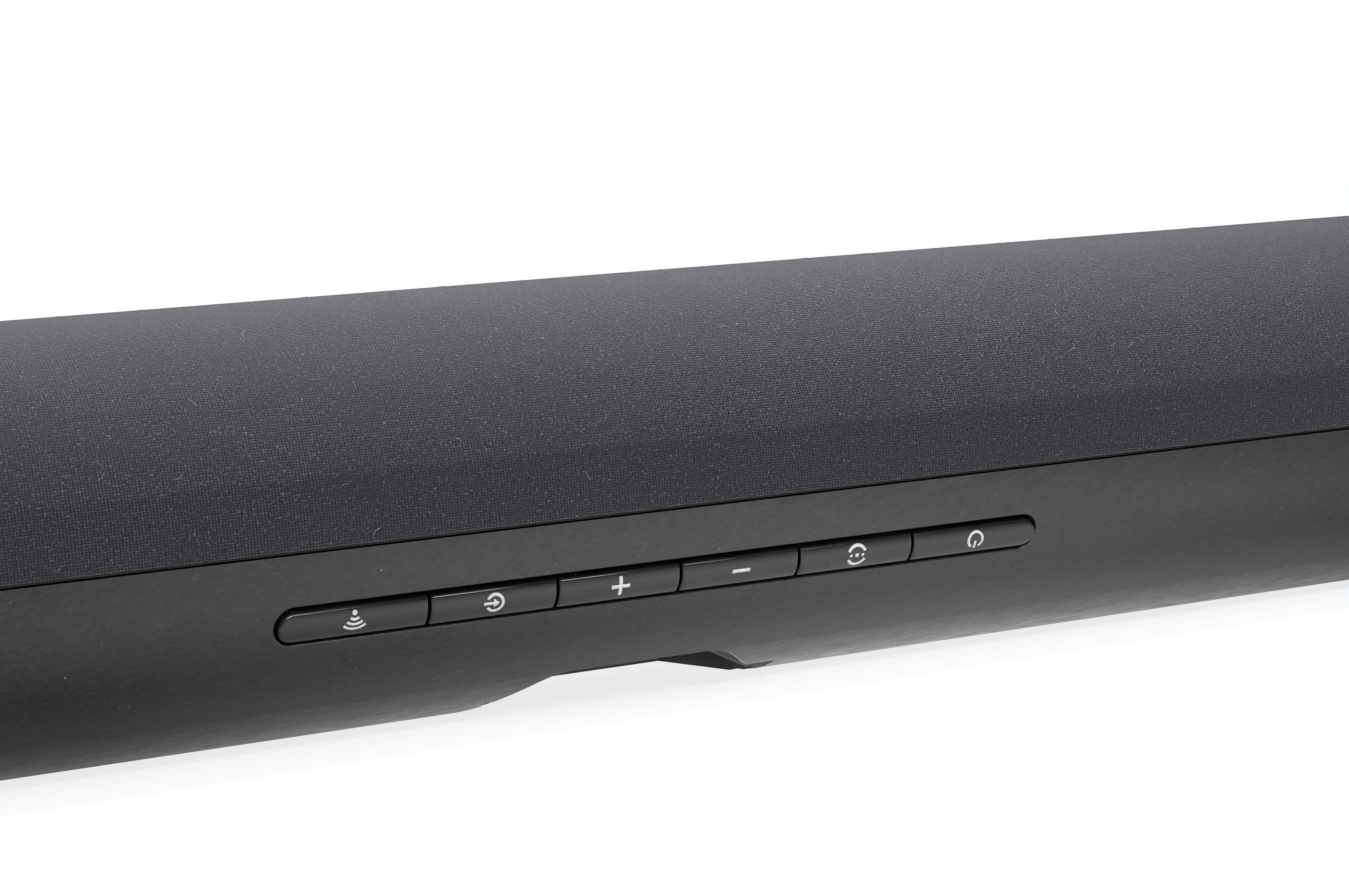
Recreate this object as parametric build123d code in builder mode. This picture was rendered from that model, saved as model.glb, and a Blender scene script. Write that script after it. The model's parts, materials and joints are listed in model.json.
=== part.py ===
from build123d import *
import math
import os

# Compact soundbar, lying on its flat base. X runs along the bar, +X is the right-hand end seen
# from the front. The front faces -Y, the keys and the cable notch face +Y, and +Z is up.
# The origin is on the resting surface, under the middle of the bar. All sizes are millimetres.

# Overall size
bar_length = 656.0
bar_depth = 74.0
body_height = 68.0
foot_proud = 1.2

# Cross-section of the body
rear_flat_height = 1.0
rear_radius = (body_height - rear_flat_height) / 2
front_top_radius = 20.0
front_low_radius = 12.0
rear_seam_rise = 30.4
front_seam_rise = 7.0

# Walls, layers and the clearances between them
shell_wall = 2.6
cloth_thickness = 0.8
cloth_backing_gap = 0.1
grille_wall = 2.4
cabinet_wall = 2.4
cabinet_inset = 5.0
cabinet_corner_radius = 8.0
driver_front_room = 8.0
seam_gap = 0.5
fit_gap = 0.3
seat_gap = 0.1

# End caps
end_cap_thickness = 5.0
end_cap_edge_radius = 1.6
spigot_inset = 3.6
spigot_wall = 0.9
spigot_depth = 6.0

# Row of keys
key_count = 6
key_pitch = 21.4
key_row_tilt = -24.3
key_slot_length = 134.6
key_slot_height = 6.1
key_slot_edge_radius = 0.35
key_split = 0.35
key_side_gap = 0.35
key_cap_height = 5.1
key_cap_drop = 0.15
key_cap_proud = 0.65
key_crown = 0.75
key_flange_height = 7.6
key_flange_depth = 3.3
key_flange_thickness = 1.2
key_stem_radius = 1.6
key_stem_end_depth = 6.4
key_flange_corner = 1.0
key_travel = 0.6

# Key frame, switches and key board
key_frame_room = 0.3
key_frame_half_height = 5.2
key_frame_end_room = 1.6
switch_size = 4.5
switch_corner = 0.4
switch_height = 2.4
switch_bore_gap = 0.15
switch_bore_depth = 1.2
plunger_radius = 1.1
key_board_depth = 9.8
board_thickness = 1.6
key_board_half_height = 6.4
key_board_corner = 1.5
key_post_radius = 3.0
key_post_offset = 6.0
ledge_depth = 8.0
ledge_thickness = 2.0

# Cable notch and connector bay
notch_offset = 2.0
notch_base_width = 54.0
notch_top_width = 30.0
notch_height = 6.2
notch_top_radius = 12.0
notch_base_radius = 9.0
bay_width = 48.0
bay_front_room = 3.3
bay_rear_room = 24.0
bay_height = 30.0
bay_rim_chamfer = 1.5
tray_wall = 2.0
tray_flange = 3.0
tray_flange_thickness = 1.6

# Sound slots in front of each driver
slot_columns = 7
slot_rows = 8
slot_pitch_x = 7.0
slot_pitch_z = 4.6
slot_length = 5.4
slot_width = 2.6

# Sockets on the bay's +X wall
inlet_width = 21.0
inlet_height = 11.6
inlet_corner = 1.0
inlet_depth = 17.0
inlet_recess_width = 17.2
inlet_recess_height = 7.8
inlet_recess_depth = 12.5
inlet_pin_radius = 1.2
inlet_pin_spacing = 8.6
inlet_pin_length = 9.0
inlet_rise = 10.5
optical_size = 10.0
optical_corner = 0.6
optical_recess = 7.4
optical_recess_depth = 7.0
aux_radius = 4.0
aux_bore_radius = 1.8
aux_bore_depth = 14.0
signal_socket_pitch = 15.0
signal_socket_rise = 22.8
signal_socket_depth = 15.0

# Feet and wall-bracket inserts
foot_length = 30.0
foot_width = 9.0
foot_pocket = 1.2
foot_end_room = 60.0
foot_rear_room = 2.0
foot_front_room = 17.0
insert_driver_room = 47.0
insert_rear_room = 11.5
insert_radius = 3.2
insert_core_radius = 1.7
insert_length = 8.0
insert_boss_radius = 5.2

# Case screws and the posts that they bite into
case_screw_end_room = 22.0
case_screw_chamber_room = 14.0
case_screw_baffle_room = 5.0
case_post_radius = 3.6
case_pad_radius = 4.6
case_pad_height = 3.0
front_post_height = 16.0
screw_shank_radius = 1.5
screw_head_radius = 2.9
screw_head_height = 1.8
screw_pilot_radius = 1.25
screw_clearance_radius = 1.8
case_screw_length = 12.0

# Chamber walls either side of the electronics
chamber_share = 0.2591
chamber_wall = 2.2

# Loudspeaker drivers
driver_share = 0.3537
driver_frame_size = 52.0
driver_frame_corner = 8.0
driver_frame_thickness = 2.0
driver_gasket_thickness = 0.8
driver_cutout_radius = 23.5
driver_screw_offset = 21.4
driver_screw_length = 8.0
cone_outer_radius = 19.0
cone_neck_radius = 10.3
cone_depth = 5.0
cone_thickness = 0.5
surround_outer_radius = 21.7
roll_height = 1.5
basket_depth = 13.2
basket_wall = 1.2
basket_foot_radius = 16.0
coil_radius = 9.95
coil_former_thickness = 0.25
coil_winding_thickness = 0.3
coil_travel = 1.5
pole_radius = 9.3
top_plate_radius = 19.0
top_plate_bore = 10.65
top_plate_thickness = 4.0
magnet_radius = 21.5
magnet_bore = 12.0
magnet_thickness = 10.0
back_plate_radius = 20.0
back_plate_thickness = 4.0
spider_thickness = 0.5
spider_rise = 1.0
spider_steps = 4
spider_outer_radius = 15.4

# Boards inside
board_bay_room = 24.0
board_chamber_room = 27.0
board_front_room = 8.3
board_rear_room = 23.0
board_corner = 1.5
board_standoff = 5.0
board_post_radius = 2.8
board_post_margin = 4.0
board_screw_length = 6.0
light_rise = 44.0
light_pipe_radius = 1.8
light_board_length = 30.0
light_board_height = 10.0
light_board_corner = 1.0
light_pipe_flange_radius = 3.2
light_pipe_flange = 1.0
wire_radius = 1.1
wire_post_gap = 1.0
wire_heatsink_room = 11.0
wire_pitch = 4.5
wire_bend_radius = 5.5
wire_drop = 10.0
ribbon_post_room = 9.0
ribbon_width = 6.0
ribbon_thickness = 0.4
ribbon_stub = 3.0
ribbon_bend_radius = 1.5
heatsink_offset = 9.5
heatsink_length = 40.0
heatsink_width = 20.0
heatsink_height = 16.0
heatsink_base = 3.0
heatsink_fins = 6
heatsink_fin = 1.4
transformer_size = 26.0
transformer_height = 20.0
transformer_corner = 2.0
capacitor_radius = 6.0
capacitor_height = 22.0
capacitor_edge_radius = 0.8
capacitor_spacing = 14.0

# Places worked out from the sizes above
base_z = foot_proud
top_z = foot_proud + body_height
rear_y = bar_depth / 2
front_y = -bar_depth / 2
rear_centre_y = rear_y - rear_radius
low_centre_z = base_z + rear_radius
high_centre_z = top_z - rear_radius
rear_seam_z = base_z + rear_seam_rise
front_seam_z = base_z + front_seam_rise
grille_inset = cloth_thickness + cloth_backing_gap
grille_inner_inset = grille_inset + grille_wall
body_length = bar_length - 2 * end_cap_thickness - 2 * fit_gap
floor_z = base_z + shell_wall
baffle_y = front_y + grille_inner_inset + driver_front_room
baffle_back_y = baffle_y + cabinet_wall
cabinet_top_z = top_z - cabinet_inset
driver_z = (floor_z + cabinet_top_z) / 2
driver_x = driver_share * bar_length
chamber_wall_x = chamber_share * bar_length
case_screw_xs = (chamber_wall_x - case_screw_chamber_room, bar_length / 2 - case_screw_end_room)
all_case_xs = [side * x for side in (-1, 1) for x in case_screw_xs]
driver_stack = (
    basket_depth + top_plate_thickness + magnet_thickness + back_plate_thickness + 3 * seat_gap
)
wire_y = baffle_y + driver_stack + fit_gap + wire_radius
wire_z = cabinet_top_z - cabinet_wall - wire_drop
case_screw_front_y = baffle_back_y + case_screw_baffle_room
case_screw_rear_y = wire_y - wire_radius - wire_post_gap - case_post_radius
bay_front_y = baffle_back_y + bay_front_room
bay_rear_y = rear_y - bay_rear_room
bay_middle_y = (bay_front_y + bay_rear_y) / 2
optical_y = bay_middle_y - signal_socket_pitch / 2
aux_y = bay_middle_y + signal_socket_pitch / 2
foot_x = bar_length / 2 - foot_end_room
rear_foot_y = rear_centre_y - foot_rear_room
front_foot_y = front_y + foot_front_room
insert_x = driver_x - insert_driver_room
insert_y = rear_centre_y - insert_rear_room
board_start_x = bay_width / 2 + board_bay_room
board_length = chamber_wall_x - board_chamber_room - board_start_x
board_x = board_start_x + board_length / 2
board_front_y = baffle_back_y + board_front_room
board_rear_y = rear_y - board_rear_room
heatsink_x = board_x + heatsink_offset
wire_start_x = heatsink_x - heatsink_length / 2 - wire_heatsink_room

seam_slope = (rear_seam_z - front_seam_z) / bar_depth
seam_plane = Plane(
    origin=(0, rear_y, rear_seam_z), x_dir=(1, 0, 0), z_dir=(0, -seam_slope, 1)
)


def seam_z(y):
    """Height of the seam plane above the resting surface at depth y."""
    return rear_seam_z - (rear_y - y) * seam_slope


def section_face(inset):
    """The bar's cross-section, moved inwards by inset all round."""
    with BuildSketch(Plane.YZ) as section:
        with BuildLine():
            CenterArc((rear_centre_y, low_centre_z), rear_radius - inset, -90, 90)
            Line((rear_y - inset, low_centre_z), (rear_y - inset, high_centre_z))
            CenterArc((rear_centre_y, high_centre_z), rear_radius - inset, 0, 90)
            Line((rear_centre_y, top_z - inset), (front_y + front_top_radius, top_z - inset))
            CenterArc(
                (front_y + front_top_radius, top_z - front_top_radius),
                front_top_radius - inset,
                90,
                90,
            )
            Line(
                (front_y + inset, top_z - front_top_radius),
                (front_y + inset, base_z + front_low_radius),
            )
            CenterArc(
                (front_y + front_low_radius, base_z + front_low_radius),
                front_low_radius - inset,
                180,
                90,
            )
            Line((front_y + front_low_radius, base_z + inset), (rear_centre_y, base_z + inset))
        make_face()
    return section.sketch_local


def section_ring(outer_inset, inner_inset):
    """A closed band of the cross-section between two insets."""
    outer = section_face(outer_inset)
    inner = section_face(inner_inset)
    with BuildSketch(Plane.YZ) as ring:
        add(outer)
        add(inner, mode=Mode.SUBTRACT)
    return ring.sketch_local


def cabinet_face(inset):
    """Outline of the inner cabinet, open-ended downwards, moved inwards by inset."""
    corner = cabinet_corner_radius - inset
    bottom = base_z - bar_depth
    rear_wall_y = rear_y - cabinet_inset
    with BuildSketch(Plane.YZ) as outline:
        with BuildLine():
            Line((rear_wall_y - inset, bottom), (rear_wall_y - inset, high_centre_z))
            CenterArc(
                (rear_centre_y, high_centre_z), rear_radius - cabinet_inset - inset, 0, 90
            )
            Line(
                (rear_centre_y, cabinet_top_z - inset),
                (baffle_y + cabinet_corner_radius, cabinet_top_z - inset),
            )
            CenterArc(
                (baffle_y + cabinet_corner_radius, cabinet_top_z - cabinet_corner_radius),
                corner,
                90,
                90,
            )
            Line((baffle_y + inset, cabinet_top_z - cabinet_corner_radius), (baffle_y + inset, bottom))
            Line((baffle_y + inset, bottom), (rear_wall_y - inset, bottom))
        make_face()
    return outline.sketch_local


# ---------------------------------------------------------------- key row
key_angle = math.radians(key_row_tilt)
key_normal = Vector(0, math.cos(key_angle), math.sin(key_angle))
key_origin = Vector(0, rear_centre_y, low_centre_z) + key_normal * rear_radius
key_plane = Plane(origin=key_origin, x_dir=(-1, 0, 0), z_dir=key_normal)
key_names = ["wireless", "source", "volume_up", "volume_down", "surround", "power"]
key_xs = [(index - (key_count - 1) / 2) * key_pitch for index in range(key_count)]
key_row_end = key_slot_length / 2 - key_side_gap
key_post_x = key_slot_length / 2 + key_post_offset
ribbon_x = key_post_x - ribbon_post_room
key_frame_depth = key_flange_depth + key_travel + key_frame_room


def key_limits(index):
    """Left and right edge of one cap along the row; the end caps reach the slot's round ends."""
    left = key_xs[index] - key_pitch / 2 + key_split / 2
    right = key_xs[index] + key_pitch / 2 - key_split / 2
    if index == 0:
        left = -key_row_end
    if index == key_count - 1:
        right = key_row_end
    return left, right


def key_centre(index):
    """Middle of one cap along the row."""
    return sum(key_limits(index)) / 2


def keycap(index):
    """One key: crowned cap in the slot, retaining flange behind the wall, and a stem."""
    left, right = key_limits(index)
    middle = (left + right) / 2
    half = key_cap_height / 2
    flange_ends = key_split + 2 * fit_gap
    side_plane = Plane(origin=key_origin, x_dir=key_plane.y_dir, z_dir=(-1, 0, 0))
    with BuildPart() as cap:
        with BuildSketch(side_plane):
            with BuildLine():
                Polyline(
                    (half - key_cap_drop, key_cap_proud - key_crown),
                    (half - key_cap_drop, -key_flange_depth),
                    (-half - key_cap_drop, -key_flange_depth),
                    (-half - key_cap_drop, key_cap_proud - key_crown),
                )
                ThreePointArc(
                    (-half - key_cap_drop, key_cap_proud - key_crown),
                    (-key_cap_drop, key_cap_proud),
                    (half - key_cap_drop, key_cap_proud - key_crown),
                )
            make_face()
        extrude(amount=key_slot_length, both=True)
        with BuildSketch(key_plane):
            with Locations((0, -key_cap_drop)):
                SlotOverall(2 * key_row_end, key_cap_height)
            with Locations((middle, 0)):
                Rectangle(right - left, 2 * key_slot_height, mode=Mode.INTERSECT)
        extrude(amount=-key_flange_depth, both=True, mode=Mode.INTERSECT)
        with BuildSketch(key_plane.offset(-key_flange_depth)):
            with Locations((middle, 0)):
                RectangleRounded(
                    right - left - flange_ends, key_flange_height, key_flange_corner
                )
        extrude(amount=-key_flange_thickness)
        with BuildSketch(key_plane.offset(-key_flange_depth)):
            with Locations((middle, 0)):
                Circle(key_stem_radius)
        extrude(amount=key_flange_depth - key_stem_end_depth)
    cap.part.label = "key_" + key_names[index]
    return cap.part


def plunger(index):
    """The small button of one tact switch, which a key's stem pushes."""
    with BuildPart() as button:
        with BuildSketch(key_plane.offset(-key_stem_end_depth - seat_gap)):
            with Locations((key_centre(index), 0)):
                Circle(plunger_radius)
        extrude(amount=-(key_board_depth - switch_height - key_stem_end_depth - 2 * seat_gap))
    button.part.label = "plunger_" + key_names[index]
    return button.part


for index in range(key_count):
    export_step(keycap(index), "parts/key_" + key_names[index] + ".step")
    export_step(plunger(index), "parts/plunger_" + key_names[index] + ".step")

# Frame that guides the six keys and keeps dust from the board
with BuildPart() as key_frame:
    with BuildSketch(key_plane.offset(-key_frame_depth)):
        Rectangle(2 * key_row_end + 2 * key_frame_end_room, 2 * key_frame_half_height)
        for index in range(key_count):
            left, right = key_limits(index)
            with Locations(((left + right) / 2, 0)):
                Rectangle(
                    right - left - key_split,
                    key_flange_height + 2 * fit_gap,
                    mode=Mode.SUBTRACT,
                )
    extrude(amount=key_frame_depth - key_board_depth + seat_gap)
key_frame.part.label = "key_frame"
export_step(key_frame.part, "parts/key_frame.step")

with BuildPart() as switch_bodies:
    with BuildSketch(key_plane.offset(-key_board_depth)):
        with Locations(*[(key_centre(index), 0) for index in range(key_count)]):
            RectangleRounded(switch_size, switch_size, switch_corner)
    extrude(amount=switch_height)
    chamfer(switch_bodies.faces().group_by(Axis(key_origin, key_normal))[-1].edges(), fit_gap)
    # bores that the plungers sink into
    with BuildSketch(key_plane.offset(switch_height - key_board_depth)):
        with Locations(*[(key_centre(index), 0) for index in range(key_count)]):
            Circle(plunger_radius + switch_bore_gap)
    extrude(amount=-switch_bore_depth, mode=Mode.SUBTRACT)
switch_bodies.part.label = "switch_bodies"
export_step(switch_bodies.part, "parts/switch_bodies.step")

with BuildPart() as key_board:
    with BuildSketch(key_plane.offset(-key_board_depth)):
        RectangleRounded(
            2 * (key_post_x + key_post_offset), 2 * key_board_half_height, key_board_corner
        )
        with Locations((-key_post_x, 0), (key_post_x, 0)):
            Circle(screw_clearance_radius, mode=Mode.SUBTRACT)
    extrude(amount=-board_thickness)
key_board.part.label = "key_board"
export_step(key_board.part, "parts/key_board.step")

# ---------------------------------------------------------------- rear shell
case_xs_front = [(x, case_screw_front_y) for x in all_case_xs]
case_xs_rear = [(x, case_screw_rear_y) for x in all_case_xs]
case_places = case_xs_front + case_xs_rear
insert_places = [(-insert_x, insert_y), (insert_x, insert_y)]
foot_places = [(x, y) for x in (-foot_x, foot_x) for y in (front_foot_y, rear_foot_y)]
board_posts = [
    (side * (board_x + end * (board_length / 2 - board_post_margin)), y)
    for side in (-1, 1)
    for end in (-1, 1)
    for y in (board_front_y + board_post_margin, board_rear_y - board_post_margin)
]
board_z = floor_z + board_standoff
wire_hole_radius = wire_radius + fit_gap
notch_roof_z = base_z + notch_height
notch_flare_x = notch_base_width / 2 + notch_base_radius
tray_width = bay_width + 2 * tray_wall
tray_length = bay_rear_y - bay_front_y + 2 * tray_wall


def on_notch_base(corner):
    """True for the two corners where the notch's sides meet the base."""
    return abs(abs(corner.X) - notch_base_width / 2) < seat_gap


def notch_outline():
    """Outline of the cable notch, rounded under its roof and flared at the base."""
    with BuildSketch() as outline:
        with BuildLine():
            Polyline(
                (-notch_flare_x, base_z - notch_height),
                (-notch_flare_x, base_z),
                (-notch_base_width / 2, base_z),
                (-notch_top_width / 2, notch_roof_z),
                (notch_top_width / 2, notch_roof_z),
                (notch_base_width / 2, base_z),
                (notch_flare_x, base_z),
                (notch_flare_x, base_z - notch_height),
                close=True,
            )
        make_face()
        fillet(outline.vertices().group_by(Axis.Y)[-1], notch_top_radius)
        fillet(outline.vertices().filter_by(on_notch_base), notch_base_radius)
    return outline.sketch_local


def on_slot_lip(edge):
    """True for the outer edges of the key slot, which lie just behind the key plane."""
    places = [key_plane.to_local_coords(edge @ place) for place in (0, 0.5, 1)]
    return all(
        abs(place.X) <= key_slot_length / 2 + seat_gap
        and abs(place.Y) <= key_slot_height / 2 + seat_gap
        and -shell_wall / 2 < place.Z < seat_gap
        for place in places
    )


with BuildPart() as rear_shell:
    with BuildSketch(Plane.YZ):
        add(section_ring(0, shell_wall))
    extrude(amount=body_length / 2, both=True)
    split(bisect_by=seam_plane, keep=Keep.BOTTOM)
    # ledge inside the rear seam, which carries the cabinet's edge
    with BuildSketch(Plane.YZ):
        with BuildLine():
            Polyline(
                (rear_y - shell_wall / 2, seam_z(rear_y - shell_wall / 2)),
                (rear_y - ledge_depth, seam_z(rear_y - ledge_depth)),
                (rear_y - ledge_depth, seam_z(rear_y - ledge_depth) - ledge_thickness),
                (rear_y - shell_wall / 2, seam_z(rear_y - shell_wall / 2) - ledge_thickness),
                close=True,
            )
        make_face()
    extrude(amount=body_length / 2 - spigot_depth - fit_gap, both=True)
    # chamber walls, kept clear of the cabinet
    for side in (-1, 1):
        with BuildSketch(Plane.YZ.offset(side * chamber_wall_x)):
            add(cabinet_face(cabinet_wall + fit_gap))
            with Locations((rear_y, seam_z(rear_y) - 2 * ledge_thickness)):
                Rectangle(2 * ledge_depth, bar_depth, align=(Align.CENTER, Align.MAX))
            add(section_face(shell_wall / 2), mode=Mode.INTERSECT)
            with Locations((wire_y, wire_z)):
                Circle(wire_hole_radius, mode=Mode.SUBTRACT)
        extrude(amount=chamber_wall / 2, both=True)
    # pads under the case screws, posts for the boards, bosses for the inserts
    with BuildSketch(Plane.XY.offset(floor_z - shell_wall / 2)):
        with Locations(*case_places):
            Circle(case_pad_radius)
    extrude(amount=shell_wall / 2 + case_pad_height)
    with BuildSketch(Plane.XY.offset(floor_z - shell_wall / 2)):
        with Locations(*board_posts):
            Circle(board_post_radius)
    extrude(amount=shell_wall / 2 + board_standoff - seat_gap / 2)
    with BuildSketch(Plane.XY.offset(floor_z - shell_wall / 2)):
        with Locations(*insert_places):
            Circle(insert_boss_radius)
    extrude(amount=shell_wall / 2 + insert_length)
    # posts behind the key row
    with BuildSketch(key_plane.offset(-key_board_depth + seat_gap)):
        with Locations((-key_post_x, 0), (key_post_x, 0)):
            Circle(key_post_radius)
    extrude(amount=key_board_depth - shell_wall / 2)
    # key slot with a small rounded lip
    with BuildSketch(key_plane.offset(key_cap_height)):
        SlotOverall(key_slot_length, key_slot_height)
    extrude(amount=-(key_cap_height + key_frame_depth), mode=Mode.SUBTRACT)
    # cable notch through the lower rear wall
    with BuildSketch(Plane.XZ.offset(-rear_y - fit_gap)):
        with Locations((notch_offset, 0)):
            add(notch_outline())
    extrude(amount=rear_radius, mode=Mode.SUBTRACT)
    # room for the key frame where the ledge would meet it
    with BuildSketch(key_plane.offset(fit_gap - key_frame_depth)):
        Rectangle(
            2 * (key_row_end + key_frame_end_room + fit_gap),
            2 * (key_frame_half_height + fit_gap),
        )
    extrude(amount=key_frame_depth - key_board_depth - fit_gap, mode=Mode.SUBTRACT)
    # opening for the connector tray, down to the base
    with BuildSketch(Plane.XY.offset(base_z - foot_proud)):
        with Locations((0, bay_middle_y)):
            Rectangle(tray_width + 2 * fit_gap, tray_length + 2 * fit_gap)
    extrude(amount=foot_proud + notch_height + shell_wall, mode=Mode.SUBTRACT)
    # screw, insert and pilot holes, and pockets for the feet
    with Locations(*[(x, y, base_z) for x, y in case_places]):
        Cylinder(
            screw_clearance_radius,
            shell_wall + case_pad_height,
            align=(Align.CENTER, Align.CENTER, Align.MIN),
            mode=Mode.SUBTRACT,
        )
        Cylinder(
            screw_head_radius + fit_gap,
            screw_head_height + case_pad_height / 2,
            align=(Align.CENTER, Align.CENTER, Align.MIN),
            mode=Mode.SUBTRACT,
        )
    with Locations(*[(x, y, base_z) for x, y in insert_places]):
        Cylinder(
            insert_radius,
            insert_length,
            align=(Align.CENTER, Align.CENTER, Align.MIN),
            mode=Mode.SUBTRACT,
        )
    with Locations(*[(x, y, board_z) for x, y in board_posts]):
        Cylinder(
            screw_shank_radius,
            board_screw_length,
            align=(Align.CENTER, Align.CENTER, Align.MAX),
            mode=Mode.SUBTRACT,
        )
    with BuildSketch(key_plane.offset(-key_board_depth)):
        with Locations((-key_post_x, 0), (key_post_x, 0)):
            Circle(screw_shank_radius)
    extrude(amount=board_screw_length, mode=Mode.SUBTRACT)
    with BuildSketch(Plane.XY.offset(base_z - foot_proud)):
        with Locations(*foot_places):
            SlotOverall(foot_length + 2 * seat_gap, foot_width + 2 * seat_gap)
    extrude(amount=foot_proud + foot_pocket, mode=Mode.SUBTRACT)
    # rounded lip round the key slot
    lip_edges = rear_shell.edges().filter_by(on_slot_lip)
    fillet(lip_edges, key_slot_edge_radius)
rear_shell.part.label = "rear_shell"
export_step(rear_shell.part, "parts/rear_shell.step")

# ---------------------------------------------------------------- inner cabinet and cover
post_top_z = cabinet_top_z - cabinet_wall / 2
post_bottom_z = floor_z + case_pad_height + seat_gap
driver_screw_places = [
    (side * driver_x + across * driver_screw_offset, driver_z + up * driver_screw_offset)
    for side in (-1, 1)
    for across in (-1, 1)
    for up in (-1, 1)
]

with BuildPart() as front_cabinet:
    with BuildSketch(Plane.YZ):
        add(cabinet_face(0))
        add(cabinet_face(cabinet_wall), mode=Mode.SUBTRACT)
        with Locations((front_y, floor_z + seat_gap)):
            Rectangle(
                bar_depth, 2 * bar_depth, align=(Align.CENTER, Align.MAX), mode=Mode.SUBTRACT
            )
        with BuildLine():
            Polyline(
                (0, seam_z(0) + seat_gap),
                (rear_y, seam_z(rear_y) + seat_gap),
                (rear_y, base_z - 2 * bar_depth),
                (0, base_z - 2 * bar_depth),
                close=True,
            )
        make_face(mode=Mode.SUBTRACT)
    extrude(amount=body_length / 2, both=True)
    # driver seats and the window of the status light
    with BuildSketch(Plane.XZ.offset(-baffle_back_y)):
        with Locations((-driver_x, driver_z), (driver_x, driver_z)):
            Circle(driver_cutout_radius)
        with Locations((0, base_z + light_rise)):
            Circle(light_pipe_radius + fit_gap)
    extrude(amount=2 * cabinet_wall, mode=Mode.SUBTRACT)
    with BuildSketch(Plane.XZ.offset(-baffle_back_y - cabinet_wall)):
        with Locations(*driver_screw_places):
            Circle(screw_pilot_radius + fit_gap)
    extrude(amount=3 * cabinet_wall, mode=Mode.SUBTRACT)
    # screw posts: short ones behind the baffle, long ones from the top wall
    with BuildSketch(Plane.XY.offset(post_bottom_z)):
        with Locations(*case_xs_front):
            Circle(case_post_radius)
            with Locations((0, baffle_back_y - case_screw_front_y)):
                Rectangle(
                    2 * screw_head_height,
                    case_screw_front_y - baffle_back_y + cabinet_wall / 2,
                    align=(Align.CENTER, Align.MIN),
                )
    extrude(amount=front_post_height)
    with BuildSketch(Plane.XY.offset(post_bottom_z)):
        with Locations(*case_xs_rear):
            Circle(case_post_radius)
    extrude(amount=post_top_z - post_bottom_z)
    with Locations(*[(x, y, post_bottom_z) for x, y in case_places]):
        Cylinder(
            screw_shank_radius,
            case_screw_length,
            align=(Align.CENTER, Align.CENTER, Align.MIN),
            mode=Mode.SUBTRACT,
        )
front_cabinet.part.label = "front_cabinet"
export_step(front_cabinet.part, "parts/front_cabinet.step")

cover_plane = seam_plane.offset(seam_gap)

with BuildPart() as grille_frame:
    with BuildSketch(Plane.YZ):
        add(section_ring(grille_inset, grille_inner_inset))
    extrude(amount=body_length / 2, both=True)
    split(bisect_by=cover_plane, keep=Keep.TOP)
    # sound slots in front of each driver
    with BuildSketch(Plane.XZ.offset(-front_y)):
        for side in (-1, 1):
            with Locations((side * driver_x, driver_z)):
                with GridLocations(slot_pitch_x, slot_pitch_z, slot_columns, slot_rows):
                    SlotOverall(slot_length, slot_width)
        with Locations((0, base_z + light_rise)):
            Circle(light_pipe_radius + fit_gap)
    extrude(amount=-2 * grille_inner_inset, mode=Mode.SUBTRACT)
grille_frame.part.label = "grille_frame"
export_step(grille_frame.part, "parts/grille_frame.step")

with BuildPart() as grille_cloth:
    with BuildSketch(Plane.YZ):
        add(section_ring(0, cloth_thickness))
    extrude(amount=body_length / 2, both=True)
    split(bisect_by=cover_plane, keep=Keep.TOP)
grille_cloth.part.label = "grille_cloth"
export_step(grille_cloth.part, "parts/grille_cloth.step")


def end_cap(side, name):
    """Moulded cap that closes one end, with a rib that slips inside the shell and the cover."""
    inner_x = side * (bar_length / 2 - end_cap_thickness)
    outwards = Plane(origin=(inner_x, 0, 0), x_dir=(0, side, 0), z_dir=(side, 0, 0))
    with BuildPart() as cap:
        with BuildSketch(Plane.YZ.offset(inner_x)):
            add(section_face(0))
        extrude(amount=side * end_cap_thickness)
        outer_edges = cap.faces().sort_by(Axis(outwards.origin, outwards.z_dir))[-1].edges()
        fillet(outer_edges, end_cap_edge_radius)
        with BuildSketch(Plane.YZ.offset(inner_x)):
            add(section_ring(spigot_inset, spigot_inset + spigot_wall))
            with Locations(((baffle_y + baffle_back_y) / 2, floor_z)):
                Rectangle(cabinet_wall + 2 * fit_gap, 4 * spigot_inset, mode=Mode.SUBTRACT)
        extrude(amount=-side * spigot_depth)
    cap.part.label = name
    return cap.part


export_step(end_cap(-1, "left_end_cap"), "parts/left_end_cap.step")
export_step(end_cap(1, "right_end_cap"), "parts/right_end_cap.step")

# ---------------------------------------------------------------- connector tray and sockets
socket_wall_x = bay_width / 2
socket_x_dir = Plane(origin=(socket_wall_x, 0, 0), x_dir=(0, 1, 0), z_dir=(1, 0, 0))
inlet_z = base_z + inlet_rise
signal_z = base_z + signal_socket_rise
inner_rear_radius = rear_radius - shell_wall
notch_mouth_y = rear_centre_y + math.sqrt(
    inner_rear_radius**2 - (low_centre_z - notch_roof_z) ** 2
)

# body of the tray, trimmed to the outside of the bar
with BuildPart() as tray_body:
    with BuildSketch(Plane.XY.offset(base_z)):
        with Locations((0, bay_middle_y)):
            Rectangle(tray_width, tray_length)
    extrude(amount=bay_height + tray_wall)
    with BuildSketch(Plane.YZ):
        add(section_face(seat_gap))
    extrude(amount=tray_width, both=True, mode=Mode.INTERSECT)

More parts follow.
